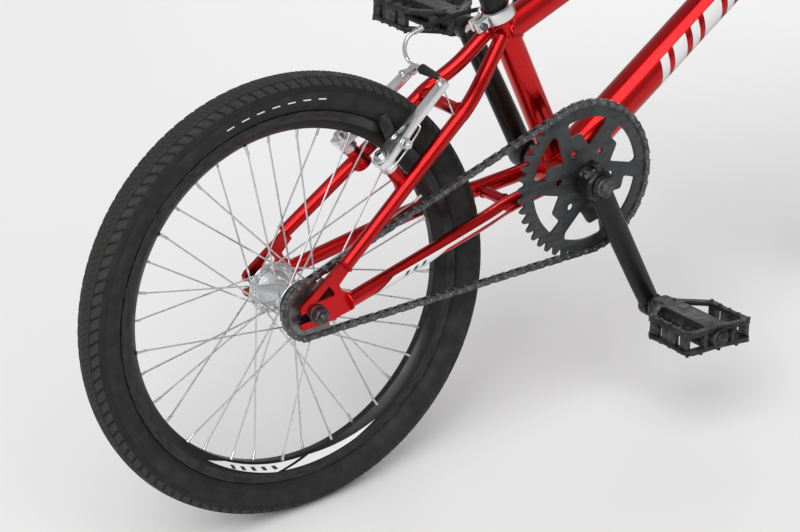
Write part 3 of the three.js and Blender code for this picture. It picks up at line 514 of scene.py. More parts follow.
def flat(bm, loops, low, high, place, bevel=0.5):
    """A plate with softened edges. The first outline is its outside, the rest are holes."""
    curve = bpy.data.curves.new("outline", "CURVE")
    curve.dimensions, curve.fill_mode, curve.bevel_resolution = "2D", "BOTH", 1
    curve.extrude, curve.bevel_depth, curve.offset = (high - low) / 2 - bevel, bevel, -bevel
    for points in loops:
        spline = curve.splines.new("POLY")
        spline.points.add(len(points) - 1)
        for point, (a, b) in zip(spline.points, points):
            point.co = (a, b, 0, 1)
        spline.use_cyclic_u = True
    holder = add("outline", curve)
    graph = bpy.context.evaluated_depsgraph_get()
    mesh = bpy.data.meshes.new_from_object(holder.evaluated_get(graph))
    mesh.transform(place @ Matrix.Translation((0, 0, (low + high) / 2)))
    bm.from_mesh(mesh)
    bmesh.ops.remove_doubles(bm, verts=bm.verts, dist=0.002)
    bpy.data.objects.remove(holder)
    bpy.data.curves.remove(curve)
    bpy.data.meshes.remove(mesh)


def block(bm, place, size, soft=0.6):
    """A box with softened edges, its middle at the place's origin."""
    a, b = size[0] / 2, size[1] / 2
    flat(bm, [[(-a, -b), (a, -b), (a, b), (-a, b)]], -size[2] / 2, size[2] / 2, place, soft)


def both_halves(half):
    """An outline whose second half mirrors the first in its second coordinate."""
    return half + [(a, -b) for a, b in half[::-1]]


def both_ends(half, length):
    """A lathe profile whose far end mirrors its near end."""
    return half + [(r, length - h) for r, h in half[::-1]]


def hexagon(r):
    return circle(r, 6)


def bolt(bm, at, out, r=4.2, length=4.5, socket=2.1):
    """A cap screw's head with a hexagon socket, standing on `at` and facing `out`."""
    u, v = across(out)
    lathe(bm, at, out, [(r * 0.98, 0), (r, 0.4), (r, length - 0.7), (r - 0.7, length)], 28)
    flat(bm, [circle(r - 0.75, 28), hexagon(socket)], length - 0.1, length + 0.35, basis(at, u, v), 0.1)


def patch(bm, where, corners, columns, rows):
    """A skin over a curved surface: corners are four (p, q) pairs that where(p, q) maps to points."""
    (p0, q0), (p1, q1), (p2, q2), (p3, q3) = corners
    grid = []
    for j in range(rows + 1):
        t = j / rows
        line = []
        for i in range(columns + 1):
            s = i / columns
            low = (p0 + (p1 - p0) * s, q0 + (q1 - q0) * s)
            high = (p3 + (p2 - p3) * s, q3 + (q2 - q3) * s)
            line.append(bm.verts.new(where(*(a + (b - a) * t for a, b in zip(low, high)))))
        grid.append(line)
    for a, b in zip(grid, grid[1:]):
        for i in range(columns):
            bm.faces.new((a[i], a[i + 1], b[i + 1], b[i]))


def piece(name, bm, look, body, slot, stands_for=(), bevel=0.0, smooth=38, closed=True):
    """Puts a finished mesh in the scene: its look by name, the body it rides on and the nodes it stands for."""
    if closed:
        bmesh.ops.recalc_face_normals(bm, faces=bm.faces)
    bmesh.ops.scale(bm, vec=(MM, MM, MM), verts=bm.verts)
    mesh = bpy.data.meshes.new(name)
    bm.to_mesh(mesh)
    bm.free()
    shade(mesh, smooth)
    mesh.materials.append(looks[look])
    obj = add(name, mesh)
    if bevel:
        soften(obj, bevel)
    if body:
        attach(obj, body)
    if stands_for:
        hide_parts(*stands_for)
    return obj


def stand_in(node, bm, look, body, slot, *rest, **options):
    """A finer piece in the place of one CAD node."""
    return piece(f"{node}_shape", bm, look, body, slot, [node], *rest, **options)


def mark(name, bm, look, body, slot):
    """Thin print lying just off a surface."""
    return piece(name, bm, look, body, slot, smooth=80, closed=False)


def shade(mesh, angle):
    mesh.polygons.foreach_set("use_smooth", [True] * len(mesh.polygons))
    mesh.set_sharp_from_angle(angle=math.radians(angle))


def soften(obj, width):
    rounding = obj.modifiers.new("edges", "BEVEL")
    rounding.width, rounding.segments = width * MM, 2
    rounding.limit_method, rounding.angle_limit = "ANGLE", math.radians(40)
    rounding.harden_normals = False


def keep(node, look, bevel):
    """A CAD node whose own shape is right: it gets a finish and softened edges."""
    obj = frame["nodes"][node]
    obj.data.materials.clear()
    obj.data.materials.append(looks[look])
    shade(obj.data, 32)
    soften(obj, bevel)


# ---------- main frame ----------
STAYS = {
    "chain": [(-461, 59, 251), (-310, 47, 273), (-262, 41, 279), (-231, 31.5, 281), (-150, 24, 286)],
    "seat": [(-462, 61.5, 293), (-272, 39, 416), (-240, 25, 437), (-205, 13.5, 469)],
}
BRIDGE_AT, YOKE_AT = Vector((-281, 0, 410.5)), Vector((-222, 0, 281.5))
# Each slanted bar on the down tube, as its start along the tube and its width.
DOWN_TUBE_BARS = [(152, 13), (174, 22), (206, 13), (228, 30), (268, 13), (290, 22), (322, 40)]


def meeting_line(start, axis, r, other, other_axis, other_r, count):
    """Where lines along the skin of one round tube meet another tube."""
    u, v = across(axis)
    d, o = axis.normalized(), other_axis.normalized()
    line = []
    for a, b in circle(r, count):
        p = start + u * a + v * b
        w, e = p - other, d - o * d.dot(o)
        w = w - o * w.dot(o)
        qa, qb, qc = e.dot(e), 2 * w.dot(e), w.dot(w) - other_r ** 2
        root = max(qb * qb - 4 * qa * qc, 0.0)
        line.append(p + d * ((-qb + math.sqrt(root)) / (2 * qa)))
    return line


def weld(bm, start, axis, r, other, other_axis, other_r, bead=2.1):
    """A rippled bead where a round tube meets the side of another."""
    bead_line(bm, meeting_line(start, axis, r, other, other_axis, other_r, max(60, int(r * 9))), bead)


def bead_line(bm, line, bead):
    around = sum((b - a).length for a, b in zip(line, line[1:]))
    waves = round(around / 3.2)
    steps = waves * 4
    fine = []
    for i in range(steps):
        at = i * len(line) / steps
        k = int(at)
        fine.append(line[k].lerp(line[(k + 1) % len(line)], at - k))
    count = len(fine)
    sweep(bm, fine, lambda t: bead * (0.88 + 0.14 * math.cos(2 * math.pi * waves * t * (count - 1) / count)),
          8, loop=True)


def ring_bead(bm, centre, axis, r, bead=1.8):
    u, v = across(axis)
    bead_line(bm, [centre + u * a + v * b for a, b in circle(r, 48)], bead)


def tapered(r, share):
    """A stay's radius along its way: it narrows over the ninth nearest the dropout."""
    return lambda t: r * (1 - share * max(0, 1 - t * 9))


def build_frame():
    down_axis, top_axis = DOWN_TUBE_END - BB, TOP_TUBE_END - TOP_TUBE_START
    bm = bmesh.new()
    collar = [(17.3, 0.4), (HEAD_R + 0.6, 0), (HEAD_R + 1.4, 2), (HEAD_R + 1.4, 10), (HEAD_R - 0.6, 15)]
    lathe(bm, on_steer(0, 0, HEAD_LOW), STEER_UP, both_ends(collar, HEAD_HIGH - HEAD_LOW), 56)
    stand_in("head_tube", bm, "red", "frame", "red_paint", 0.3)
    bm = bmesh.new()
    coped = meeting_line(TOP_TUBE_START, top_axis, TOP_TUBE_R, on_seat(0), SEAT_AXIS, SEAT_TUBE_R - 0.9, 72)
    u, v = across(top_axis)
    far = [TOP_TUBE_END + (u * a + v * b) for a, b in circle(TOP_TUBE_R, 72)]
    loft(bm, [coped, far], capped=False)
    stand_in("top_tube", bm, "red", "frame", "red_paint")
    bm = bmesh.new()
    rod(bm, BB + down_axis.normalized() * 12, DOWN_TUBE_END, DOWN_TUBE_R, 64)
    stand_in("down_tube", bm, "red", "frame", "red_paint")
    bm = bmesh.new()
    lathe(bm, on_seat(12), SEAT_AXIS, [(SEAT_TUBE_R, 0), (SEAT_TUBE_R, SEAT_TUBE_TOP - 12),
                                       (SEAT_TUBE_R - 0.6, SEAT_TUBE_TOP - 11.6),
                                       (POST_R + 0.3, SEAT_TUBE_TOP - 11.6), (POST_R + 0.3, 16)], 56)
    stand_in("seat_tube", bm, "red", "frame", "red_paint")
    bm = bmesh.new()
    lathe(bm, BB - Y * 34, Y, both_ends([(20.8, 0.8), (SHELL_R - 0.8, 0), (SHELL_R, 0.8)], 68), 64)
    stand_in("bottom_bracket_shell", bm, "red", "frame", "red_paint")
    for side, hand in HANDS:
        bm = bmesh.new()
        sweep(bm, rounded(mirrored(STAYS["chain"], side), 22), tapered(CHAINSTAY_R, 0.12), 36)
        stand_in(f"chainstay_{hand}", bm, "red", "frame", "red_paint")
        bm = bmesh.new()
        sweep(bm, rounded(mirrored(STAYS["seat"], side), 18), tapered(SEATSTAY_R, 0.1), 36)
        foot = on_brake(3, side * PIVOT_Y, 0)
        lathe(bm, foot, -BRAKE_OUT, [(11.5, 0), (10.2, 4), (8.4, 10), (8, 26), (7.6, 26.6)], 36)
        stand_in(f"seatstay_{hand}", bm, "red", "frame", "red_paint")
        keep(f"dropout_{hand}", "red", 1.4)
    bridges = (("seatstay_bridge", BRIDGE_AT, 7.5, 36), ("chainstay_bridge", YOKE_AT, 6.5, 27))
    for name, at, r, half in bridges:
        bm = bmesh.new()
        rod(bm, at - Y * half, at + Y * half, r, 32)
        stand_in(name, bm, "red", "frame", "red_paint")
    build_welds(down_axis, top_axis)


def build_welds(down_axis, top_axis):
    bm = bmesh.new()
    weld(bm, TOP_TUBE_START, top_axis, TOP_TUBE_R, on_seat(0), SEAT_AXIS, SEAT_TUBE_R)
    weld(bm, TOP_TUBE_END, -top_axis, TOP_TUBE_R, STEER_FOOT, STEER_UP, HEAD_R - 0.6)
    weld(bm, DOWN_TUBE_END, -down_axis, DOWN_TUBE_R, STEER_FOOT, STEER_UP, HEAD_R - 0.6, 2.4)
    weld(bm, BB, down_axis, DOWN_TUBE_R, BB, Y, SHELL_R, 2.4)
    weld(bm, BB, SEAT_AXIS, SEAT_TUBE_R, BB, Y, SHELL_R)
    for side in (1, -1):
        stays = [(mirrored(STAYS["seat"], side), SEATSTAY_R, (on_seat(0), SEAT_AXIS, SEAT_TUBE_R, 1.7)),
                 (mirrored(STAYS["chain"], side), CHAINSTAY_R, (BB, Y, SHELL_R, 1.9))]
        for stay, r, other in stays:
            weld(bm, stay[-1], stay[-2] - stay[-1], r, *other)
        for stay, r, _ in stays:
            axis = (stay[1] - stay[0]).normalized()
            ring_bead(bm, stay[0] + axis * 1.2, axis, r * 0.92, 1.6)
        ring_bead(bm, BRIDGE_AT + Y * side * 31.5, Y, 8, 1.5)
        ring_bead(bm, YOKE_AT + Y * side * 18.5, Y, 7, 1.5)
    piece("frame_welds", bm, "red", "frame", "red_paint")


def tube_skin(start, axis, r):
    """Maps (distance along, degrees round) to a point just off a tube. Zero degrees faces the right side."""
    d = axis.normalized()
    up = Y.cross(d)

    def where(s, degrees):
        a = math.radians(degrees)
        return start + d * s + (-Y * math.cos(a) - up * math.sin(a)) * (r + 0.18)

    return where


def route_skin(route, r, side):
    """Like tube_skin, but follows a bent tube; zero degrees faces outwards and positive is upwards."""
    lengths = [0.0]
    for a, b in zip(route, route[1:]):
        lengths.append(lengths[-1] + (b - a).length)

    def where(s, degrees):
        k = max(i for i in range(len(route) - 1) if lengths[i] <= s)
        d = (route[k + 1] - route[k]).normalized()
        out = (Y * side - d * d.y * side).normalized()
        a = math.radians(degrees)
        return route[k] + d * (s - lengths[k]) + (out * math.cos(a) + Z * math.sin(a)) * r

    return where


def add_graphics():
    """Plain slanted bars and wedges stand where the real bike has its lettering."""
    bm = bmesh.new()
    skin = tube_skin(BB, DOWN_TUBE_END - BB, DOWN_TUBE_R)
    for turn in (0, 180):
        lean = 16 if turn == 0 else -16
        for start, width in DOWN_TUBE_BARS:
            patch(bm, skin, [(start, turn - 38), (start + width, turn - 38),
                             (start + width + lean, turn + 34), (start + lean, turn + 34)], 6, 14)
    skin = tube_skin(TOP_TUBE_START, TOP_TUBE_END - TOP_TUBE_START, TOP_TUBE_R)
    for turn in (0, 180):
        patch(bm, skin, [(330, turn - 26), (520, turn - 20), (540, turn + 12), (330, turn + 18)], 12, 8)
        patch(bm, skin, [(290, turn - 26), (310, turn - 26), (310, turn + 18), (290, turn + 18)], 3, 8)
    mark("frame_graphics_white", bm, "white", "frame", "red_paint")
    bm, dark = bmesh.new(), bmesh.new()
    for side in (1, -1):
        route = rounded(mirrored(STAYS["chain"], side), 22)
        skin, above = (route_skin(route, CHAINSTAY_R + lift, side) for lift in (0.18, 0.3))
        patch(bm, skin, [(28, -44), (110, -44), (124, 18), (58, 22)], 12, 8)
        patch(bm, skin, [(110, -44), (134, -4), (134, 18), (124, 18)], 4, 6)
        patch(bm, skin, [(134, -4), (226, -2), (222, 18), (134, 18)], 16, 3)
        for s in (72, 84, 96):
            patch(dark, above, [(s, -22), (s + 5, -22), (s + 9, 4), (s + 4, 4)], 2, 5)
    mark("stay_graphics_white", bm, "white", "frame", "red_paint")
    mark("stay_graphics_black", dark, "ink", "frame", "red_paint")


# ---------- wheels ----------
TYRE_SIDE = [(205, 11.7), (210.3, 11.9), (212.5, 16.2), (218, 21.8), (226, 24), (234, 22.6), (241, 19),
             (245.8, 14), (248.6, 8), (250, 0)]
SHOULDER_BLOCKS, TREAD_DEPTH = 112, 1.6
RIM_R = 210
SPOKE_TURN = 60  # degrees from a spoke's hole in the hub to its hole in the rim, crossing three others
VALVE_AT = -4  # degrees; the right chainstay hides it from the camera


def tyre_section():
    half = flowing([(y, 0, r) for r, y in TYRE_SIDE], 7)
    return [(p.z, p.x) for p in half] + [(p.z, -p.x) for p in half[-2::-1]]


def build_tyre(name, centre, body):
    """The section runs round the axle with a row of slanted blocks moulded on each shoulder."""
    sides = SHOULDER_BLOCKS * 8
    rings, relief = [], []
    for r, y in tyre_section() + [(206.5, -9.5), (206.5, 9.5)]:
        ring = []
        for i in range(sides):
            turn = i / 8
            height = tread_height(turn, abs(y)) if r > 233 else -1.0
            sink = TREAD_DEPTH * (1 - height) if height >= 0 else 0.0
            a = 2 * math.pi * turn / SHOULDER_BLOCKS
            ring.append(centre + polar(math.degrees(a), r - sink) + Y * y)
            # These heights also drive the tyre material, which paints shade into the grooves.
            relief.append(height)
        rings.append(ring)
    bm = bmesh.new()
    loft(bm, rings, loop=True, uv=True)
    tyre = stand_in(f"{name}_tyre", bm, "tyre", body, "tyre_rubber", smooth=55)
    tyre.data.attributes.new("relief", "FLOAT", "POINT").data.foreach_set("value", relief)


def tread_height(turn, y):
    """1 on a tread block and 0 in a groove, `turn` blocks round the tyre and y mm from its middle."""
    if 10.8 < y < 12.6 or y > 19.4:
        return 0.25
    if y >= 12.6:
        return 0.0 if (turn + (y - 12.6) * 0.07) % 1 > 0.76 else 1.0
    return 0.45 if (turn * 2 + y * 0.12) % 1 > 0.7 else 0.8


def wheel_skin(centre, profile, off=0.15):
    """Maps (radius, degrees round) to a point just off one side of a wheel; profile gives |y| at a radius."""

    def side_of(side):
        def where(r, degrees):
            return centre + polar(degrees, r) + Y * side * (profile(r) + off)
        return where

    return side_of


def rim_half_width(r):
    return 5.4 + (r - 189.4) * 7.1 / 9.8 if r < 199.2 else 12.5 + (r - 199.2) * 0.16


def tyre_half_width(r):
    for (r0, y0), (r1, y1) in zip(TYRE_SIDE[2:], TYRE_SIDE[3:]):
        if r0 <= r <= r1:
            return y0 + (y1 - y0) * (r - r0) / (r1 - r0)
    return 24


def build_rim(name, centre, body):
    half = [(188.5, 4), (189.4, 5.4), (199.2, 12.5), (200, 12.8), (RIM_R, 14.2), (RIM_R, 12.3), (204, 12),
            (198, 6)]
    bm = bmesh.new()
    lathe(bm, centre, Y, both_halves(half), 180, loop=True)
    stand_in(f"{name}_rim", bm, "black", body, "black_metal", smooth=25)
    bm = bmesh.new()
    for side in (1, -1):
        band = [(200.4, 12.8), (RIM_R - 0.5, 14.1), (RIM_R - 0.5, 14.22), (200.4, 12.92)]
        lathe(bm, centre, Y, [(r, side * y) for r, y in band], 180, loop=True)
    piece(f"{name}_brake_track", bm, "track", body, "black_metal", smooth=25)
    light, ink, dashes = bmesh.new(), bmesh.new(), bmesh.new()
    for side in (1, -1):
        over = wheel_skin(centre, rim_half_width)(side)
        above = wheel_skin(centre, rim_half_width, 0.28)(side)
        tyre_over = wheel_skin(centre, tyre_half_width, 0.25)(side)
        for at, way in ((-97, 1),) if side < 0 else ((277, -1),):
            patch(light, over, [(195.5, at - 33 * way), (191, at - 26 * way), (191, at + 4 * way),
                                (199.2, at - 6 * way)], 4, 26)
            patch(light, over, [(191.2, at + 7 * way), (198.8, at - 3 * way), (199, at + 24 * way),
                                (197.5, at + 33 * way)], 4, 26)
            for k in range(5):
                low = at - (24 - k * 4) * way
                patch(ink, above, [(193, low), (193, low + 1.6 * way), (196.6, low + 2.6 * way),
                                   (196.6, low + 1.0 * way)], 3, 3)
        for k in range(7):
            low = 74 + k * 4.8
            dash = [(220.5, low), (220.5, low + 2.4), (226.5, low + 3.2), (226.5, low + 0.8)]
            patch(dashes, tyre_over, dash, 3, 3)
    mark(f"{name}_rim_graphics_white", light, "white", body, "black_metal")
    mark(f"{name}_rim_graphics_black", ink, "ink", body, "black_metal")
    mark(f"{name}_tyre_graphics", dashes, "white", body, "tyre_rubber")
    bm = bmesh.new()
    valve = [(3.6, -2), (3.6, 3), (2.8, 4), (2.8, 20), (3.9, 21), (3.9, 30), (3, 31.5)]
    lathe(bm, centre + polar(VALVE_AT, 188.5), polar(VALVE_AT, -1), valve, 20)
    piece(f"{name}_valve", bm, "black", body, "black_metal")


def build_spokes(name, centre, body, hole_r, flange, hand):
    """Eighteen crossed spokes with elbows, heads and nipples."""
    side = 1 if hand == "left" else -1
    out = Y * side
    bm = bmesh.new()
    for i in range(18):
        hub = 20 * i + (10 if side > 0 else 0)
        outside = i % 2
        lean = SPOKE_TURN if outside else -SPOKE_TURN
        y = side * (flange - (3.6 if outside else 0) + 0.4)
        start = centre + polar(hub, hole_r) + Y * y
        end = centre + polar(hub + lean, 181) + out * (6.5 - (3.6 if outside else 0))
        rim = centre + polar(hub + lean, 189.2) + out * (5.2 - (2.6 if outside else 0))
        rod(bm, start, end, 1.0, 8)
        head = start + out * (2.6 if outside else -2.6)
        rod(bm, start, head, 1.0, 8)
        lathe(bm, head, out * (1 if outside else -1), [(1.9, 0), (1.9, 0.5), (1.1, 1.1)], 10)
        nipple, reach = rim - end, (rim - end).length
        profile = [(1.1, 0), (1.6, 0.8), (1.6, reach), (2.1, reach + 1), (2.1, reach + 3)]
        lathe(bm, end - nipple.normalized() * 3, nipple, profile, 10)
    stand_in(f"{name}_spokes_{hand}", bm, "steel", body, "bright_steel")


def build_hub(name, centre, body, profile, holes):
    bm = bmesh.new()
    lathe(bm, centre, Y, profile, 72, loop=True)
    stand_in(f"{name}_hub", bm, "alloy", body, "polished_metal", 0.35, smooth=28)
    # Painted shade: thin dark dots on the flange's face stand in for the shade inside its holes.
    bm = bmesh.new()
    for radius, y, count, r in holes:
        for i in range(count):
            at = centre + polar(360 * i / count, radius) + Y * y
            lathe(bm, at, Y * math.copysign(1, y), [(r, 0), (r, 0.25), (r - 0.5, 0.28)], 14)
    return bm


def build_axle(name, centre, body, inner, outer, end):
    bm = bmesh.new()
    for out in (Y, -Y):
        lathe(bm, centre + out * (inner - 6), out,
              [(8.6, 0), (9.2, 1), (9.2, 5), (8.4, 5.6)], 6)
        lathe(bm, centre + out * (outer + 0.2), out,
              [(10.9, 0), (10.9, 1.4), (9.4, 2.2)], 32)
        nut = centre + out * (outer + 2.4)
        lathe(bm, nut, out, [(8.4, 0), (9.6, 1), (9.6, 7.2), (8.2, 8.6)], 6)
        for k in range(14):
            at = centre + out * (end - 0.9 * (k + 1) - 0.2)
            lathe(bm, at, out, [(4.3, 0), (4.9, 0.45), (4.3, 0.9)], 24)
        lathe(bm, centre + out * (end - 2), out, [(4.3, 0), (4.3, 1.6), (3.6, 2)], 24)
    rod(bm, centre - Y * (end - 2), centre + Y * (end - 2), 4.3, 24)
    stand_in(f"{name}_axle", bm, "oiled", body, "dark_steel", 0.25, smooth=30)


# ---------- drive ----------
RING_TURN = 0.44 + 180 / RING_TEETH  # degrees from the ring's zero to its first valley


def pitch_radius(teeth):
    return PITCH / 2 / math.sin(math.pi / teeth)


def chain_rollers():
    """Roller places round the loop: in the valleys of the ring and the cog, and evenly along both runs."""
    ring_r, cog_r = pitch_radius(RING_TEETH), pitch_radius(COG_TEETH)
    span = BB - REAR
    base = math.degrees(math.atan2(span.z, span.x))
    wrap = math.degrees(math.acos((ring_r - cog_r) / span.length))
    top, low = base + 180 - wrap, base - 180 + wrap
    ring_step, cog_step = 360 / RING_TEETH, 360 / COG_TEETH
    ring = [RING_TURN + ring_step * k for k in range(-60, 60)]
    ring = [BB + polar(a, ring_r) for a in ring if low + 1 < a < top - 1]
    cog = [cog_step * k for k in range(40)]
    cog = [REAR + polar(a, cog_r) for a in cog if top + 3 < a < low + 360 - 3]

    def run(a, b, extra=0):
        count = round((b - a).length / PITCH) + extra
        return [a.lerp(b, i / count) for i in range(1, count)]

    upper, lower = run(ring[-1], cog[0]), run(cog[-1], ring[0])
    if (len(ring) + len(cog) + len(upper) + len(lower)) % 2:
        lower = run(cog[-1], ring[0], 1)
    return ring + upper + cog + lower


def link_outline(length, r, waist):
    """A plate with two round ends and a waist, about its own middle."""
    points = []
    for centre, start in ((length / 2, -55), (-length / 2, 125)):
        for i in range(9):
            a = math.radians(start + 110 * i / 8)
            points.append((centre + r * math.cos(a), r * math.sin(a)))
        points.append((0, waist if centre > 0 else -waist))
    return points


def build_chain():
    rollers = chain_rollers()
    bm = bmesh.new()
    count = len(rollers)
    for i, a in enumerate(rollers):
        b = rollers[(i + 1) % count]
        along = (b - a).normalized()
        up = Y.cross(along)
        low = 3.05 if i % 2 else 2.05
        shape = link_outline((b - a).length, 4.1, 2.9)
        for y in (low, -low - 0.9):
            middle = (a + b) / 2 + Y * (CHAIN_Y + y)
            rings = []
            for h, shrink in ((0, 0.94), (0.12, 1), (0.78, 1), (0.9, 0.94)):
                rings.append([middle + Y * h + (along * p + up * q) * shrink for p, q in shape])
            loft(bm, rings)
        rod(bm, a + Y * (CHAIN_Y - 2), a + Y * (CHAIN_Y + 2), 3.85, 14)
        rod(bm, a + Y * (CHAIN_Y - 4.5), a + Y * (CHAIN_Y + 4.5), 1.8, 12, 0.3)
    piece("chain_links", bm, "oiled", "frame", "dark_steel", ["chain"], smooth=30)


# A window as [radius, degrees after its first edge]; the ring has six, each with a drive hole beside it.
WINDOW = [(73, 1), (66, -1), (39, 14), (39, 17), (56, 30.5), (56, 46), (73, 43.5), (73, 29), (73, 15)]
WINDOW_START, DRIVE_HOLE_R, DRIVE_HOLE_AFTER = 1, 36, 50


def turned_point(r, degrees):
    a = math.radians(degrees)
    return r * math.cos(a), r * math.sin(a)


def soft_loop(points, corner):
    """Rounds a closed outline: sharp corners by `corner`, and the shallow ones of an arc all the way."""
    out, count = [], len(points)
    for i in range(count):
        a, p, b = (Vector(points[(i + k) % count]) for k in (-1, 0, 1))
        before, after = a - p, b - p
        shallow = before.angle(after) > math.radians(150)
        reach = [min(e.length * 0.49, 99 if shallow else corner) for e in (before, after)]
        start, end = p + before.normalized() * reach[0], p + after.normalized() * reach[1]
        for k in range(5):
            t = k / 4
            out.append(tuple(start * (1 - t) ** 2 + p * 2 * t * (1 - t) + end * t * t))
    return out


def build_chainring():
    pitch_r, step = pitch_radius(RING_TEETH), 360 / RING_TEETH
    # One tooth as [share of a step, height over the pitch circle], from valley to valley.
    tooth = [(-0.15, -2.7), (0, -4), (0.15, -2.7), (0.29, 1.4), (0.39, 3.8), (0.5, 4.2), (0.61, 3.8),
             (0.71, 1.4)]
    edge = [turned_point(pitch_r + lift, RING_TURN + step * (i + share))
            for i in range(RING_TEETH) for share, lift in tooth]
    holes = [circle(11.7, 40)]
    for k in range(6):
        start = WINDOW_START + 60 * k
        holes.append(soft_loop([turned_point(r, start + a) for r, a in WINDOW], 3.2))
        a, b = turned_point(DRIVE_HOLE_R, start + DRIVE_HOLE_AFTER)
        holes.append([(a + p, b + q) for p, q in circle(4, 20)])
    place = basis(BB + Y * CHAIN_Y, X, Z)
    bm = bmesh.new()
    flat(bm, [edge, *holes], -1.8, 1.8, place, 0.45)
    stand_in("chainring", bm, "ring", "cranks", "black_metal", smooth=30)


def build_drive():
    build_chainring()
    keep("freewheel_cog", "oiled", 0.3)
    build_chain()
    bm = bmesh.new()
    notch = []
    for i in range(72):
        notch.append(turned_point(15.6 if i % 18 < 3 else 17.8, 5 * i))
    flat(bm, [notch, circle(8.2, 30)], 48.9, 51, basis(REAR, Z, X) @ Matrix.Scale(-1, 4, Z), 0.3)
    body = [(8.2, -48.9), (14.2, -48.9), (14.2, -40.6), (16, -40.2), (16, -35), (8.2, -35)]
    lathe(bm, REAR, Y, body, 48, loop=True)
    stand_in("freewheel_body", bm, "black", "freewheel", "dark_steel", smooth=30)
    bm = bmesh.new()
    for out in (Y, -Y):
        lathe(bm, BB + out * 34.2, out, [(23.6, 0), (24, 0.5), (24, 2.2), (22.5, 3.2), (18, 3.4)], 60)
        for i in range(16):
            at = BB + out * 34.6 + polar(22.5 * i, 22.6)
            block(bm, basis(at + out * 1.2, polar(22.5 * i), polar(22.5 * i + 90)), (3.4, 2.4, 3.6), 0.4)
    piece("bottom_bracket_cups", bm, "anodised", "frame", "black_metal", ["bottom_bracket_cartridge"],
          smooth=30)
    bm = bmesh.new()
    rod(bm, BB - Y * 84, BB + Y * 84, 11, 40, 0.6)
    stand_in("crank_spindle", bm, "oiled", "cranks", "dark_steel")
    for side, hand in HANDS:
        build_crank(side, hand)


def build_crank(side, hand):
    eye = joint_at(f"pedal_{hand}_spin")
    eye.y = 0
    out = Y * side
    along = (eye - BB).normalized()
    width = Y.cross(along)
    bm = bmesh.new()
    stations = [(0, 70, 13.6), (14, 70, 14), (40, 70.5, 14), (90, 73, 13.7), (140, 76, 13.2), (163, 78, 12.8),
                (174, 79, 12.4)]
    rings = []
    for d, y, r in stations:
        middle = BB + along * d + out * y
        rings.append([middle + width * r * a + Y * r * 0.74 * b for a, b in circle(1, 40)])
    loft(bm, rings)
    lathe(bm, BB + out * 52, out, [(17.2, 0), (18.6, 1), (19, 3), (19, 21), (17.6, 24.5), (14.8, 26.4),
                                             (14.8, 30.8), (13.6, 32), (10.8, 32.4), (10.4, 31.4)], 56)
    boss = [(12.6, 0), (13.8, 1), (14, 2.4), (14, 11), (13.4, 12.8), (11.6, 13.2)]
    lathe(bm, eye + out * 72.6, out, boss, 48)
    back = BB - along * 17.5 + out * 68
    for half in (1, -1):
        block(bm, basis(back + width * half * 5.4, along, width), (17, 8.4, 17.5), 1.6)
    stand_in(f"crank_arm_{hand}", bm, "black", "cranks", "black_paint", smooth=40)
    bm = bmesh.new()
    for y in (63.5, 72.5):
        bolt(bm, BB - along * 20 + out * y + width * 9.4, width, 3.4, 3.2, 1.7)
        rod(bm, BB - along * 20 + out * y - width * 9, BB - along * 20 + out * y + width * 9.6, 2.4, 16)
    bolt(bm, BB + out * 83.6, out, 10.6, 1.9, 4.6)
    piece(f"crank_bolts_{hand}", bm, "oiled", "cranks", "dark_steel", smooth=30)
    bm = bmesh.new()
    lathe(bm, eye + out * 71.4, out, [(6.2, 0), (7.2, 0.6), (7.2, 1.6)], 30)
    rod(bm, eye + out * 72, eye + out * 180, 5.9, 28)
    flats = eye + out * 88.5
    flat(bm, [circle(8, 6)], 0, 4.4, basis(flats - out * 2.2, *((Z, X) if side > 0 else (X, Z))), 0.5)
    stand_in(f"pedal_axle_{hand}", bm, "alloy", "cranks", "bright_steel", smooth=30)


def build_pedal(side, hand, tilt):
    """Two cage plates with windows, held apart by webs round a long middle barrel, with moulded pins."""
    eye = joint_at(f"pedal_{hand}_spin")
    eye.y = side * 86
    ahead, out = polar(tilt), Y * side
    up = polar(tilt + 90)
    outline = both_halves([(6, -12), (20, -13), (45, -45), (52, -48.5), (70, -46.5), (92, -46.5), (112, -48.5),
                           (120, -41), (117, -14)])
    window = [(33, 15), (52, 39), (109, 39), (109, 15)]
    windows = [soft_loop([(u, v * half) for u, v in window], 5) for half in (1, -1)]
    place = basis(eye, out, ahead)
    bm = bmesh.new()
    for low, high in ((7.6, 13.2), (-13.2, -7.6)):
        flat(bm, [soft_loop(outline, 4), *windows], low, high, place, 1.3)
    posts = [(9, 0, 14), (27, 21, 14), (56, 43, 14), (82, 43, 24), (108, 43, 12), (113.5, 20, 8)]
    for u, v, length in posts:
        for half in (1, -1) if v else (1,):
            at = eye + out * u + ahead * v * half
            block(bm, basis(at, out, ahead), (length, 5.5 if v else 22, 16), 1.0)
    rod(bm, eye + out * 3, eye + out * 121, 11, 36, 1.4)
    lathe(bm, eye + out * 116, out, [(8.4, 0), (8.4, 6.2), (6.8, 7.6)], 36)
    for face in (1, -1):
        for u, v in ((50, 44), (66, 43), (82, 43), (98, 43), (114, 44), (116, 26), (116, 0), (24, 9)):
            for s in ((1, -1) if v else (1,)):
                at = eye + out * u + ahead * v * s + up * face * 13
                lathe(bm, at, up * face, [(2.5, -0.4), (2.3, 1.4), (1.7, 2.1)], 12)
    stand_in(f"pedal_{hand}", bm, "plastic", f"{hand}_pedal", "black_plastic", smooth=35)
    bm = bmesh.new()
    bolt(bm, eye + out * 121.5, out, 4.6, 1.4, 2.2)
    piece(f"pedal_{hand}_end_cap", bm, "steel", f"{hand}_pedal", "black_plastic")


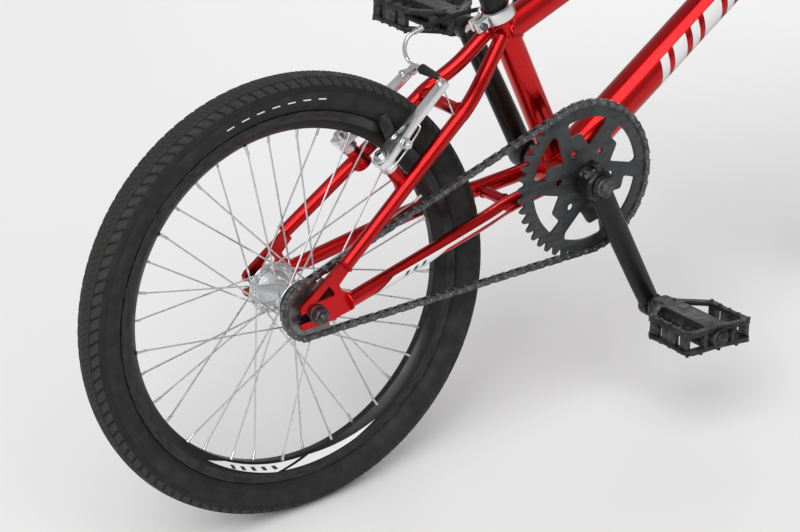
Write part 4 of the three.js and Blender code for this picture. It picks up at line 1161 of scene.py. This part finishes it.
# ---------- seat ----------
def build_seat():
    bm = bmesh.new()
    rod(bm, on_seat(96), on_seat(318), POST_R, 48)
    for k in range(7):
        line = [(POST_R + 0.06, 0), (POST_R + 0.12, 0.2), (POST_R + 0.06, 0.5)]
        lathe(bm, on_seat(236 + 5 * k), SEAT_AXIS, line, 40)
    stand_in("seat_post", bm, "anodised", "seat", "black_metal")
    build_seat_clamp()
    head = on_seat(320)
    lift, ahead = polar(95), polar(5)

    def at(x, y, z):
        return head + ahead * x + Y * y + lift * z

    side = [(-78, 36, 26), (-52, 22, 7), (45, 22, 7), (96, 12, 27), (112, 0, 24)]
    route = [at(*p) for p in side] + [at(x, -y, z) for x, y, z in side[-2::-1]]
    bm = bmesh.new()
    sweep(bm, rounded(route, 16), 3.5, 20)
    stand_in("saddle_rails", bm, "anodised", "seat", "rail_steel")
    keep("saddle_clamp", "anodised", 0.8)
    bm = bmesh.new()
    for x in (-9, 9):
        bolt(bm, at(x, 0, 0.4), -lift, 4.4, 4.5, 2.2)
    piece("saddle_clamp_bolts", bm, "oiled", "seat", "black_metal")
    keep("saddle_base", "plastic", 0.8)
    build_saddle_cover(at)


def build_seat_clamp():
    """A split ring with two ears, pulled together by a socket screw."""
    back = polar(math.degrees(math.atan2(SEAT_AXIS.z, SEAT_AXIS.x)) + 90)
    bm = bmesh.new()
    gap = 5.0
    arc = [gap + (360 - 2 * gap) * i / 64 for i in range(65)]
    section = [(16.3, -13), (19.2, -13), (20.4, -11.6), (20.4, -1), (19.6, 1.4), (17.4, 2.4), (16.3, 1.6)]
    rings = []
    for a in arc:
        out = back * math.cos(math.radians(a)) + Y * math.sin(math.radians(a))
        rings.append([on_seat(SEAT_TUBE_TOP + h) + out * r for r, h in section])
    loft(bm, rings)
    for half in (1, -1):
        middle = on_seat(SEAT_TUBE_TOP - 5.5) + back * 25.5 + Y * half * 5.4
        block(bm, basis(middle, back, SEAT_AXIS), (15, 13, 7.4), 1.8)
    stand_in("seat_clamp", bm, "alloy", "frame", "polished_metal", smooth=40)
    bm = bmesh.new()
    at = on_seat(SEAT_TUBE_TOP - 5.5) + back * 27
    rod(bm, at - Y * 11, at + Y * 12, 2.6, 20)
    bolt(bm, at - Y * 9.2, -Y, 4.4, 4.4, 2.2)
    flat(bm, [hexagon(4.8)], 9.2, 13, basis(at, Z, X), 0.4)
    piece("seat_clamp_bolt", bm, "oiled", "frame", "polished_metal", smooth=30)


def build_saddle_cover(at):
    """Crowned foam under a stretched skin: a lofted shell with a dip, side skirts and a seam bead."""
    stations = [(-114, 12, 44, 0), (-110, 38, 50, 0), (-98, 56, 54.5, 0), (-74, 61, 55.5, 1.2),
                (-40, 52, 54.6, 2.2), (0, 35, 54, 2.4), (40, 24, 54.6, 1.8), (80, 20.5, 56.2, 0.8),
                (112, 18, 56.4, 0), (134, 13, 52.5, 0), (144, 5, 46, 0)]
    curve = flowing([(x, w, h) for x, w, h, _ in stations], 4)
    dips = flowing([(x, d, 0) for x, _, _, d in stations], 4)
    rings, seams = [], {1: [], -1: []}
    for p, q in zip(curve, dips):
        w, top, dip = max(p.y, 3), p.z, q.y
        ring = []
        for i in range(36):
            a = 2 * math.pi * i / 36
            c, s = math.cos(a), math.sin(a)
            y = w * math.copysign(abs(c) ** 0.62, c)
            if s >= 0:
                z = 42 + (top - 42) * s ** 0.72 - dip * max(0, 1 - abs(y) / 14) * s
            else:
                z = 42 + 7.5 * math.copysign(abs(s) ** 0.4, s) * min(1, w / 20)
            ring.append(at(p.x, y, z))
        rings.append(ring)
        for side in (1, -1):
            seams[side].append(at(p.x, side * (w + 0.15), 42.3))
    bm = bmesh.new()
    loft(bm, rings)
    cover = stand_in("saddle_cover", bm, "vinyl", "seat", "saddle_skin", smooth=70)
    smooth = cover.modifiers.new("smooth", "SUBSURF")
    smooth.levels = smooth.render_levels = 1
    bm = bmesh.new()
    for side in (1, -1):
        sweep(bm, seams[side], 0.9, 10)
    piece("saddle_piping", bm, "vinyl", "seat", "saddle_skin")


# ---------- brake and cables ----------
ARM_AT, PAD_AT, PAD_TURN = -39, 27, 15.4


def build_brake():
    for side, hand, top in ((1, "left", 105), (-1, "right", 112)):
        y = side * PIVOT_Y
        outward = Y * side
        body = f"{hand}_brake_arm"
        bm = bmesh.new()
        place = basis(on_brake(ARM_AT, 0, 0), outward, BRAKE_UP)
        lean = [(v - 9 * w / top + PIVOT_Y, w) for v, w in
                ((-9, -10), (9, -10), (11.5, 2), (9.5, 26), (6.5, 52), (5.4, top - 3), (2, top), (-3, top),
                 (-5.2, top - 4), (-5.5, 60), (-7, 40), (-11.5, 20), (-11, 4))]
        slot = [(PIVOT_Y - 4.5 + p * 0.9, 38 + q * 2.2) for p, q in circle(2.6, 16)]
        flat(bm, [lean, slot], -4.6, 4.6, place, 1.5)
        lathe(bm, on_brake(-24.3, y, 0), -BRAKE_OUT, [(9, 0), (10, 1), (10, 19), (9.2, 20.6), (7, 21)], 40)
        stand_in(f"brake_arm_{hand}", bm, "alloy", body, "polished_metal", smooth=40)
        bm = bmesh.new()
        bolt(bm, on_brake(-45, y, 0), -BRAKE_OUT, 5.6, 4.4, 2.6)
        bolt(bm, on_brake(ARM_AT - 4.4, y - side * 9 * (top - 8) / top, top - 8), -BRAKE_OUT, 3.6, 3, 1.7)
        stud = on_brake(ARM_AT, 0, PAD_AT)
        for low, high, r in ((31.5, 34.2, 6.4), (34.2, 36.6, 5.4), (48.2, 50.4, 6.6), (50.4, 53, 5.6)):
            rod(bm, stud + outward * low, stud + outward * high, r, 28, 0.5)
        flat(bm, [hexagon(5.4)], 53, 57.4, basis(stud, *((Z, X) if side > 0 else (X, Z))), 0.5)
        rod(bm, stud + outward * 24, stud + outward * 59, 2.9, 20, 0.5)
        spring = [on_brake(-30, side * 49.5, -4), on_brake(-31, side * 51.5, 10), on_brake(-33, side * 50, 34),
                  on_brake(-33.5, side * 45, 52), on_brake(-36, side * 41.5, 54)]
        sweep(bm, flowing(spring, 8), 0.9, 10)
        piece(f"brake_hardware_{hand}", bm, "steel", body, "bright_steel", smooth=30)
        bm = bmesh.new()
        along = (BRAKE_UP * -math.sin(math.radians(PAD_TURN)) + BRAKE_OUT * math.cos(math.radians(PAD_TURN)))
        across_pad = along.cross(Y)
        inner, outer = 16.3, 24.5
        place = basis(stud + outward * inner, along, across_pad)
        out = 1 if place.col[2].xyz.dot(outward) > 0 else -1
        shape = both_halves([(-28, -3.4), (-24, -4.3), (0, -4.6), (22, -4.3), (26, -3)])
        low, high = sorted((0, out * (outer - inner)))
        flat(bm, [shape], low, high, place, 0.9)
        low, high = sorted((out * 4, out * 10.4))
        flat(bm, [[(a, b * 1.42) for a, b in shape]], low, high, place, 1.6)
        stand_in(f"brake_pad_{hand}", bm, "plastic", body, "black_plastic", smooth=40)
    build_cables()


NOODLE = [(-294, 14, 450), (-294, 22, 450), (-295, 40, 453), (-297, 43, 466), (-291, 42, 480), (-272, 39, 486)]
HOUSING_R, HOUSING_Y = 2.5, 20.2
TOP_SLOPE = (TOP_TUBE_END.z - TOP_TUBE_START.z) / (TOP_TUBE_END.x - TOP_TUBE_START.x)


def beside_top_tube(x, y=HOUSING_Y):
    return (x, y, TOP_TUBE_START.z + (x - TOP_TUBE_START.x) * TOP_SLOPE)


def build_cables():
    bm = bmesh.new()
    sweep(bm, rounded(NOODLE, 12), 2.4, 20)
    tip, tail = Vector(NOODLE[0]), Vector(NOODLE[-1])
    along = (tail - Vector(NOODLE[-2])).normalized()
    rod(bm, tail - along * 12, tail, 3.3, 24, 0.6)
    rod(bm, tip, tip + Y * 10, 2.7, 24, 0.8)
    block(bm, basis(Vector((-296, 28, 447)), BRAKE_UP, Y), (13, 11, 7), 1.4)
    stand_in("brake_noodle", bm, "steel", "left_brake_arm", "bright_steel")
    anchor = on_brake(ARM_AT - 7.5, -31.6, 104)
    bm = bmesh.new()
    ends = Vector((-294, 13, 450)), Vector((-297, -22, 451))
    axis = ends[1] - ends[0]
    outside = [point for k in range(8) for point in ((5.9 - 0.3 * k, 4.4 * k), (5.2 - 0.27 * k, 4.4 * k + 2.2))]
    lathe(bm, ends[0], axis, outside + [(1.2, axis.length), (1.2, 14), (4.5, 12), (4.5, 0)], 24, loop=True)
    boot = piece("brake_boot", bm, "rubber", None, "cable_housing")
    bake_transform(boot)
    bm = bmesh.new()
    wire = [ends[1], (-298, -29, 450), anchor, anchor + Vector((6, -3, -14)), anchor + Vector((10, -6, -32))]
    sweep(bm, flowing(wire, 8), 0.8, 10)
    rod(bm, Vector(wire[-1]) + Vector((-1, 0.5, 4)), Vector(wire[-1]) + Vector((1.6, -1.2, -7)), 1.3, 12, 0.3)
    piece("brake_wire_tail", bm, "steel", "right_brake_arm", "bright_steel")
    route = [(-271, 38.9, 486.2), (-240, 33, 491), (-212, 26, 493), (-172, 21, 489), beside_top_tube(-130),
             beside_top_tube(60), beside_top_tube(286)]
    bm = bmesh.new()
    sweep(bm, rounded(route, 24), HOUSING_R, 20)
    housing = stand_in("brake_cable_rear", bm, "cable", None, "cable_housing")
    Vector(route[0]) * MM
    Vector(route[3]) * MM
    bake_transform(housing)
    bm = bmesh.new()
    for x in (-110, 60, 230):
        p = Vector(beside_top_tube(x))
        d = (TOP_TUBE_END - TOP_TUBE_START).normalized()
        lathe(bm, p - d * 5, d, both_ends([(2.7, 0), (3.6, 0.6)], 10), 24)
        block(bm, basis(p - Y * 2.4, d, Y), (10, 4, 4), 0.6)
    piece("cable_guides", bm, "oiled", "frame", "red_paint")
    barrel = PIVOT + STEER_FORWARD * 8 + Y * 36 - STEER_UP
    points = [beside_top_tube(286.5), beside_top_tube(320, 25), (372, 38, 690), (432, 36, 760), (462, -20, 838),
              (430, -110, 888), (barrel.x, -160, barrel.z), barrel]
    bm = bmesh.new()
    sweep(bm, flowing(points, 10), HOUSING_R, 20)
    rise = stand_in("brake_cable_front", bm, "cable", None, "cable_housing")
    Vector(points[1]) * MM
    Vector(points[4]) * MM
    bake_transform(rise)


# ---------- fork, bars and lever ----------
def build_steering():
    bm = bmesh.new()
    rod(bm, on_steer(0, 0, CROWN - 26), on_steer(0, 0, STEM_HIGH - 2), 14.3, 40)
    seat = [(16.5, 0), (18, 1.5), (18, 23), (20.5, 25), (20.5, 26)]
    lathe(bm, on_steer(0, 0, CROWN - 26), STEER_UP, seat, 48)
    for side in (1, -1):
        leg = [(0, 2, CROWN - 12), (1, 26, CROWN - 15), (2, 43, CROWN - 34), (3, 47, 262), (24, 53, 16)]
        path = [on_steer(x, y * side, z) for x, y, z in leg]
        bent = rounded(path, 16)
        fine = []
        for a, b in zip(bent, bent[1:]):
            steps = max(1, int((b - a).length / 10))
            fine += [a.lerp(b, k / steps) for k in range(steps)]
        fine.append(bent[-1])
        sweep(bm, fine, lambda t: 13.5 - max(0.0, t - 0.3) / 0.7 * 4.2, 36)
        plate = [(-12, 26), (14, 24), (13, -2), (9, -9), (5.3, -13), (5.3, 2), (2.5, 5.5), (-2.5, 5.5),
                 (-5.3, 2), (-5.3, -13), (-10, -9)]
        low, high = (50, 55) if side > 0 else (-55, -50)
        place = basis(on_steer(32, 0, 0), STEER_FORWARD, STEER_UP)
        flat(bm, [plate], -high, -low, place, 0.7)
        ring_bead(bm, on_steer(23.5, 52.8 * side, 20), path[-2] - path[-1], 9.6, 1.5)
        ring_bead(bm, on_steer(0.4, 17.5 * side, CROWN - 13.4), Y, 13.6, 1.9)
    stand_in("fork", bm, "black", "steering", "black_paint")
    for face, way, node in ((HEAD_LOW, -1, "headset_cup_lower"), (HEAD_HIGH, 1, "headset_cup_upper")):
        bm = bmesh.new()
        cup = [(21.4, 0.3), (22.2, 1), (22.2, 5), (21.2, 6.4), (21.2, 7.2), (20.6, 7.6), (19.4, 11.1),
               (15, 11.2)]
        lathe(bm, on_steer(0, 0, face), STEER_UP * way, cup, 60)
        stand_in(node, bm, "anodised", "frame", "black_metal")
    keep("stem", "anodised", 1.2)
    keep("stem_faceplate", "anodised", 1.2)
    bm = bmesh.new()
    for y in (-19, 19):
        for z in (-14, 14):
            bolt(bm, on_steer(BAR_X + 17, y, BAR_Z + z - 0.5), STEER_FORWARD, 4, 3.2, 2)
    for z in (12, 30):
        bolt(bm, on_steer(-12, -16, STEM_LOW + z), -Y, 3.8, 6.5, 2)
    cap = [(18.6, 0), (19, 0.6), (19, 2), (17, 3.4), (8, 4)]
    lathe(bm, on_steer(0, 0, STEM_HIGH + 0.2), STEER_UP, cap, 48)
    bolt(bm, on_steer(0, 0, STEM_HIGH + 4), STEER_UP, 4.4, 2, 2.2)
    piece("stem_bolts", bm, "oiled", "steering", "black_metal")
    build_bars()
    build_lever()


def build_bars():
    grip_end = Vector((BAR_X - 29, 362, BAR_TOP + 5))
    half = [Vector((BAR_X, 0, BAR_Z)), Vector((BAR_X, 50, BAR_Z)), Vector((BAR_X, 172, BAR_TOP)), grip_end]
    route = mirrored(half[::-1], -1) + half[1:]
    bm = bmesh.new()
    sweep(bm, [on_steer(*p) for p in rounded(route, 30)], BAR_R, 36)
    cross_y = 50 + 122 * CROSSBAR_Z / BAR_RISE  # on the bar's leg, which runs from 50 mm out to 172
    ends = [on_steer(BAR_X, s * cross_y, BAR_Z + CROSSBAR_Z) for s in (-1, 1)]
    rod(bm, *ends, 8, 32)
    for s, end in zip((-1, 1), ends):
        ring_bead(bm, end - Y * s * 12.5, Y * s * 0.86 + STEER_UP * 0.5, 8.6, 1.4)
    for y in range(-22, 23, 4):
        line = [(BAR_R + 0.02, 0), (BAR_R + 0.18, 0.4), (BAR_R + 0.02, 0.8)]
        lathe(bm, on_steer(BAR_X, y, BAR_Z), Y, line, 32)
    stand_in("handlebar", bm, "black", "steering", "black_paint")
    direction = (grip_end - half[2]).normalized()
    for side, hand in HANDS:
        start = grip_end - direction * GRIP_LENGTH
        start = on_steer(start.x, start.y * side, start.z)
        axis = (on_steer(direction.x, direction.y * side, direction.z) - STEER_FOOT).normalized()
        profile = [(BAR_R + 0.4, 0), (20.4, 0.2), (20.9, 1.2), (20.4, 2.8), (16, 4.2)]
        for k in range(38):
            s = 6 + 3.1 * k
            profile += [(14.9, s), (15.9, s + 0.6), (15.9, s + 2.0), (14.9, s + 2.6)]
        profile += [(16.4, 127), (16.9, 128.6), (16.8, 131.6), (15.4, 133)]
        bm = bmesh.new()
        lathe(bm, start, axis, profile, 48)
        stand_in(f"grip_{hand}", bm, "grip", "steering", "grip_rubber")


def build_lever():
    keep("brake_lever_mount", "anodised", 0.8)
    outline = [(-6, 5), (-8.2, 0), (-7.6, -5), (-2.6, -18), (0.6, -40), (2, -60), (5, -80), (8.6, -94),
               (11, -98.4), (14.6, -98.2), (16.8, -95), (16.4, -90), (12.6, -76), (10, -58), (9, -36),
               (9, -14), (7.6, -1), (5, 5)]
    bm = bmesh.new()
    place = basis(PIVOT, STEER_FORWARD, Y)
    flat(bm, [outline], -4, 4, place, 1.6)
    stand_in("brake_lever", bm, "alloy", "lever", "polished_metal", smooth=45)
    bm = bmesh.new()
    bolt(bm, PIVOT + STEER_UP * 4.6, STEER_UP, 3.6, 2.4, 1.7)
    barrel = PIVOT + STEER_FORWARD * 7 + Y * 24 - STEER_UP * 0.6
    axis = (STEER_FORWARD * 2 + Y * 28 - STEER_UP * 1).normalized()
    lathe(bm, barrel, axis, [(5.2, 0), (5.8, 0.6), (5.8, 5.4), (5, 6), (4, 6.4), (4, 9.6), (3.2, 10.4)], 16)
    piece("lever_hardware", bm, "oiled", "steering", "black_metal")


# ---------- the whole bike ----------
def build_wheels():
    # The last list of each wheel places the hub's dark dots of painted shade: radius, y, count and dot radius.
    wheels = (
        ("rear", REAR, "rear_wheel", 25, {"left": 28.4, "right": 25.4},
         [(7.2, -34.5), (18.2, -34.5), (19, -33.6), (19, -30), (20.5, -29.4), (28.4, -29.2), (29, -28.6),
          (29, -27.8), (28, -27.4), (21, -26), (15.5, -20.5), (14, -14), (14, 14), (15.5, 21), (20.5, 28.6),
          (28, 30.2), (29, 31), (29, 32), (28.2, 32.4), (17, 33.2), (16, 34), (16, 45), (15, 46),
          (7.2, 46)], [(23, -29.35, 9, 2.4)]),
        ("front", FRONT, "front_wheel", 18.5, {"left": 32.4, "right": 32.4},
         both_halves([(6.6, -42), (13, -42), (14, -41), (14, -37), (21.4, -36.6), (22, -36), (22, -35),
                      (16, -33.2), (12.8, -28), (12, -22)]), [(17, -36.75, 6, 1.8)]),
    )
    for name, centre, body, hole_r, flange, profile, holes in wheels:
        build_tyre(name, centre, body)
        build_rim(name, centre, body)
        hole_shade_dots = build_hub(name, centre, body, profile, holes)
        # The hub's holes are dark dots of painted shade.
        piece(f"{name}_hub_hole_shade", hole_shade_dots, "oiled", body, "polished_metal")
        for hand in ("left", "right"):
            build_spokes(name, centre, body, hole_r, flange[hand], hand)
    build_axle("rear", REAR, "frame", 55, 61, 76)
    build_axle("front", FRONT, "steering", 50, 55, 70)


place_camera()
light_studio()
lay_floor()
looks = {
    "red": candy_red(),
    "black": black_paint(),
    "anodised": black_anodised(),
    "ring": satin_ring(),
    "alloy": polished_alloy(),
    "steel": bright_steel(),
    "oiled": oiled_steel(),
    "plastic": moulded_plastic(),
    "tyre": tyre_rubber(),
    "rubber": soft_rubber("boot_rubber", 0.014, 400, 0.15).material,
    "grip": soft_rubber("grip_rubber", 0.012, 800, 0.3).material,
    "cable": soft_rubber("cable_jacket", 0.01, 300, 0.05).material,
    "vinyl": grained_vinyl(),
    "track": brake_track(),
    "white": printed("white_print", (0.72, 0.72, 0.72)),
    "ink": printed("black_print", (0.02, 0.02, 0.022)),
}
build_frame()
add_graphics()
build_wheels()
build_drive()
build_pedal(-1, "right", tilt=-7)
build_pedal(1, "left", tilt=-8)
build_seat()
build_brake()
build_steering()
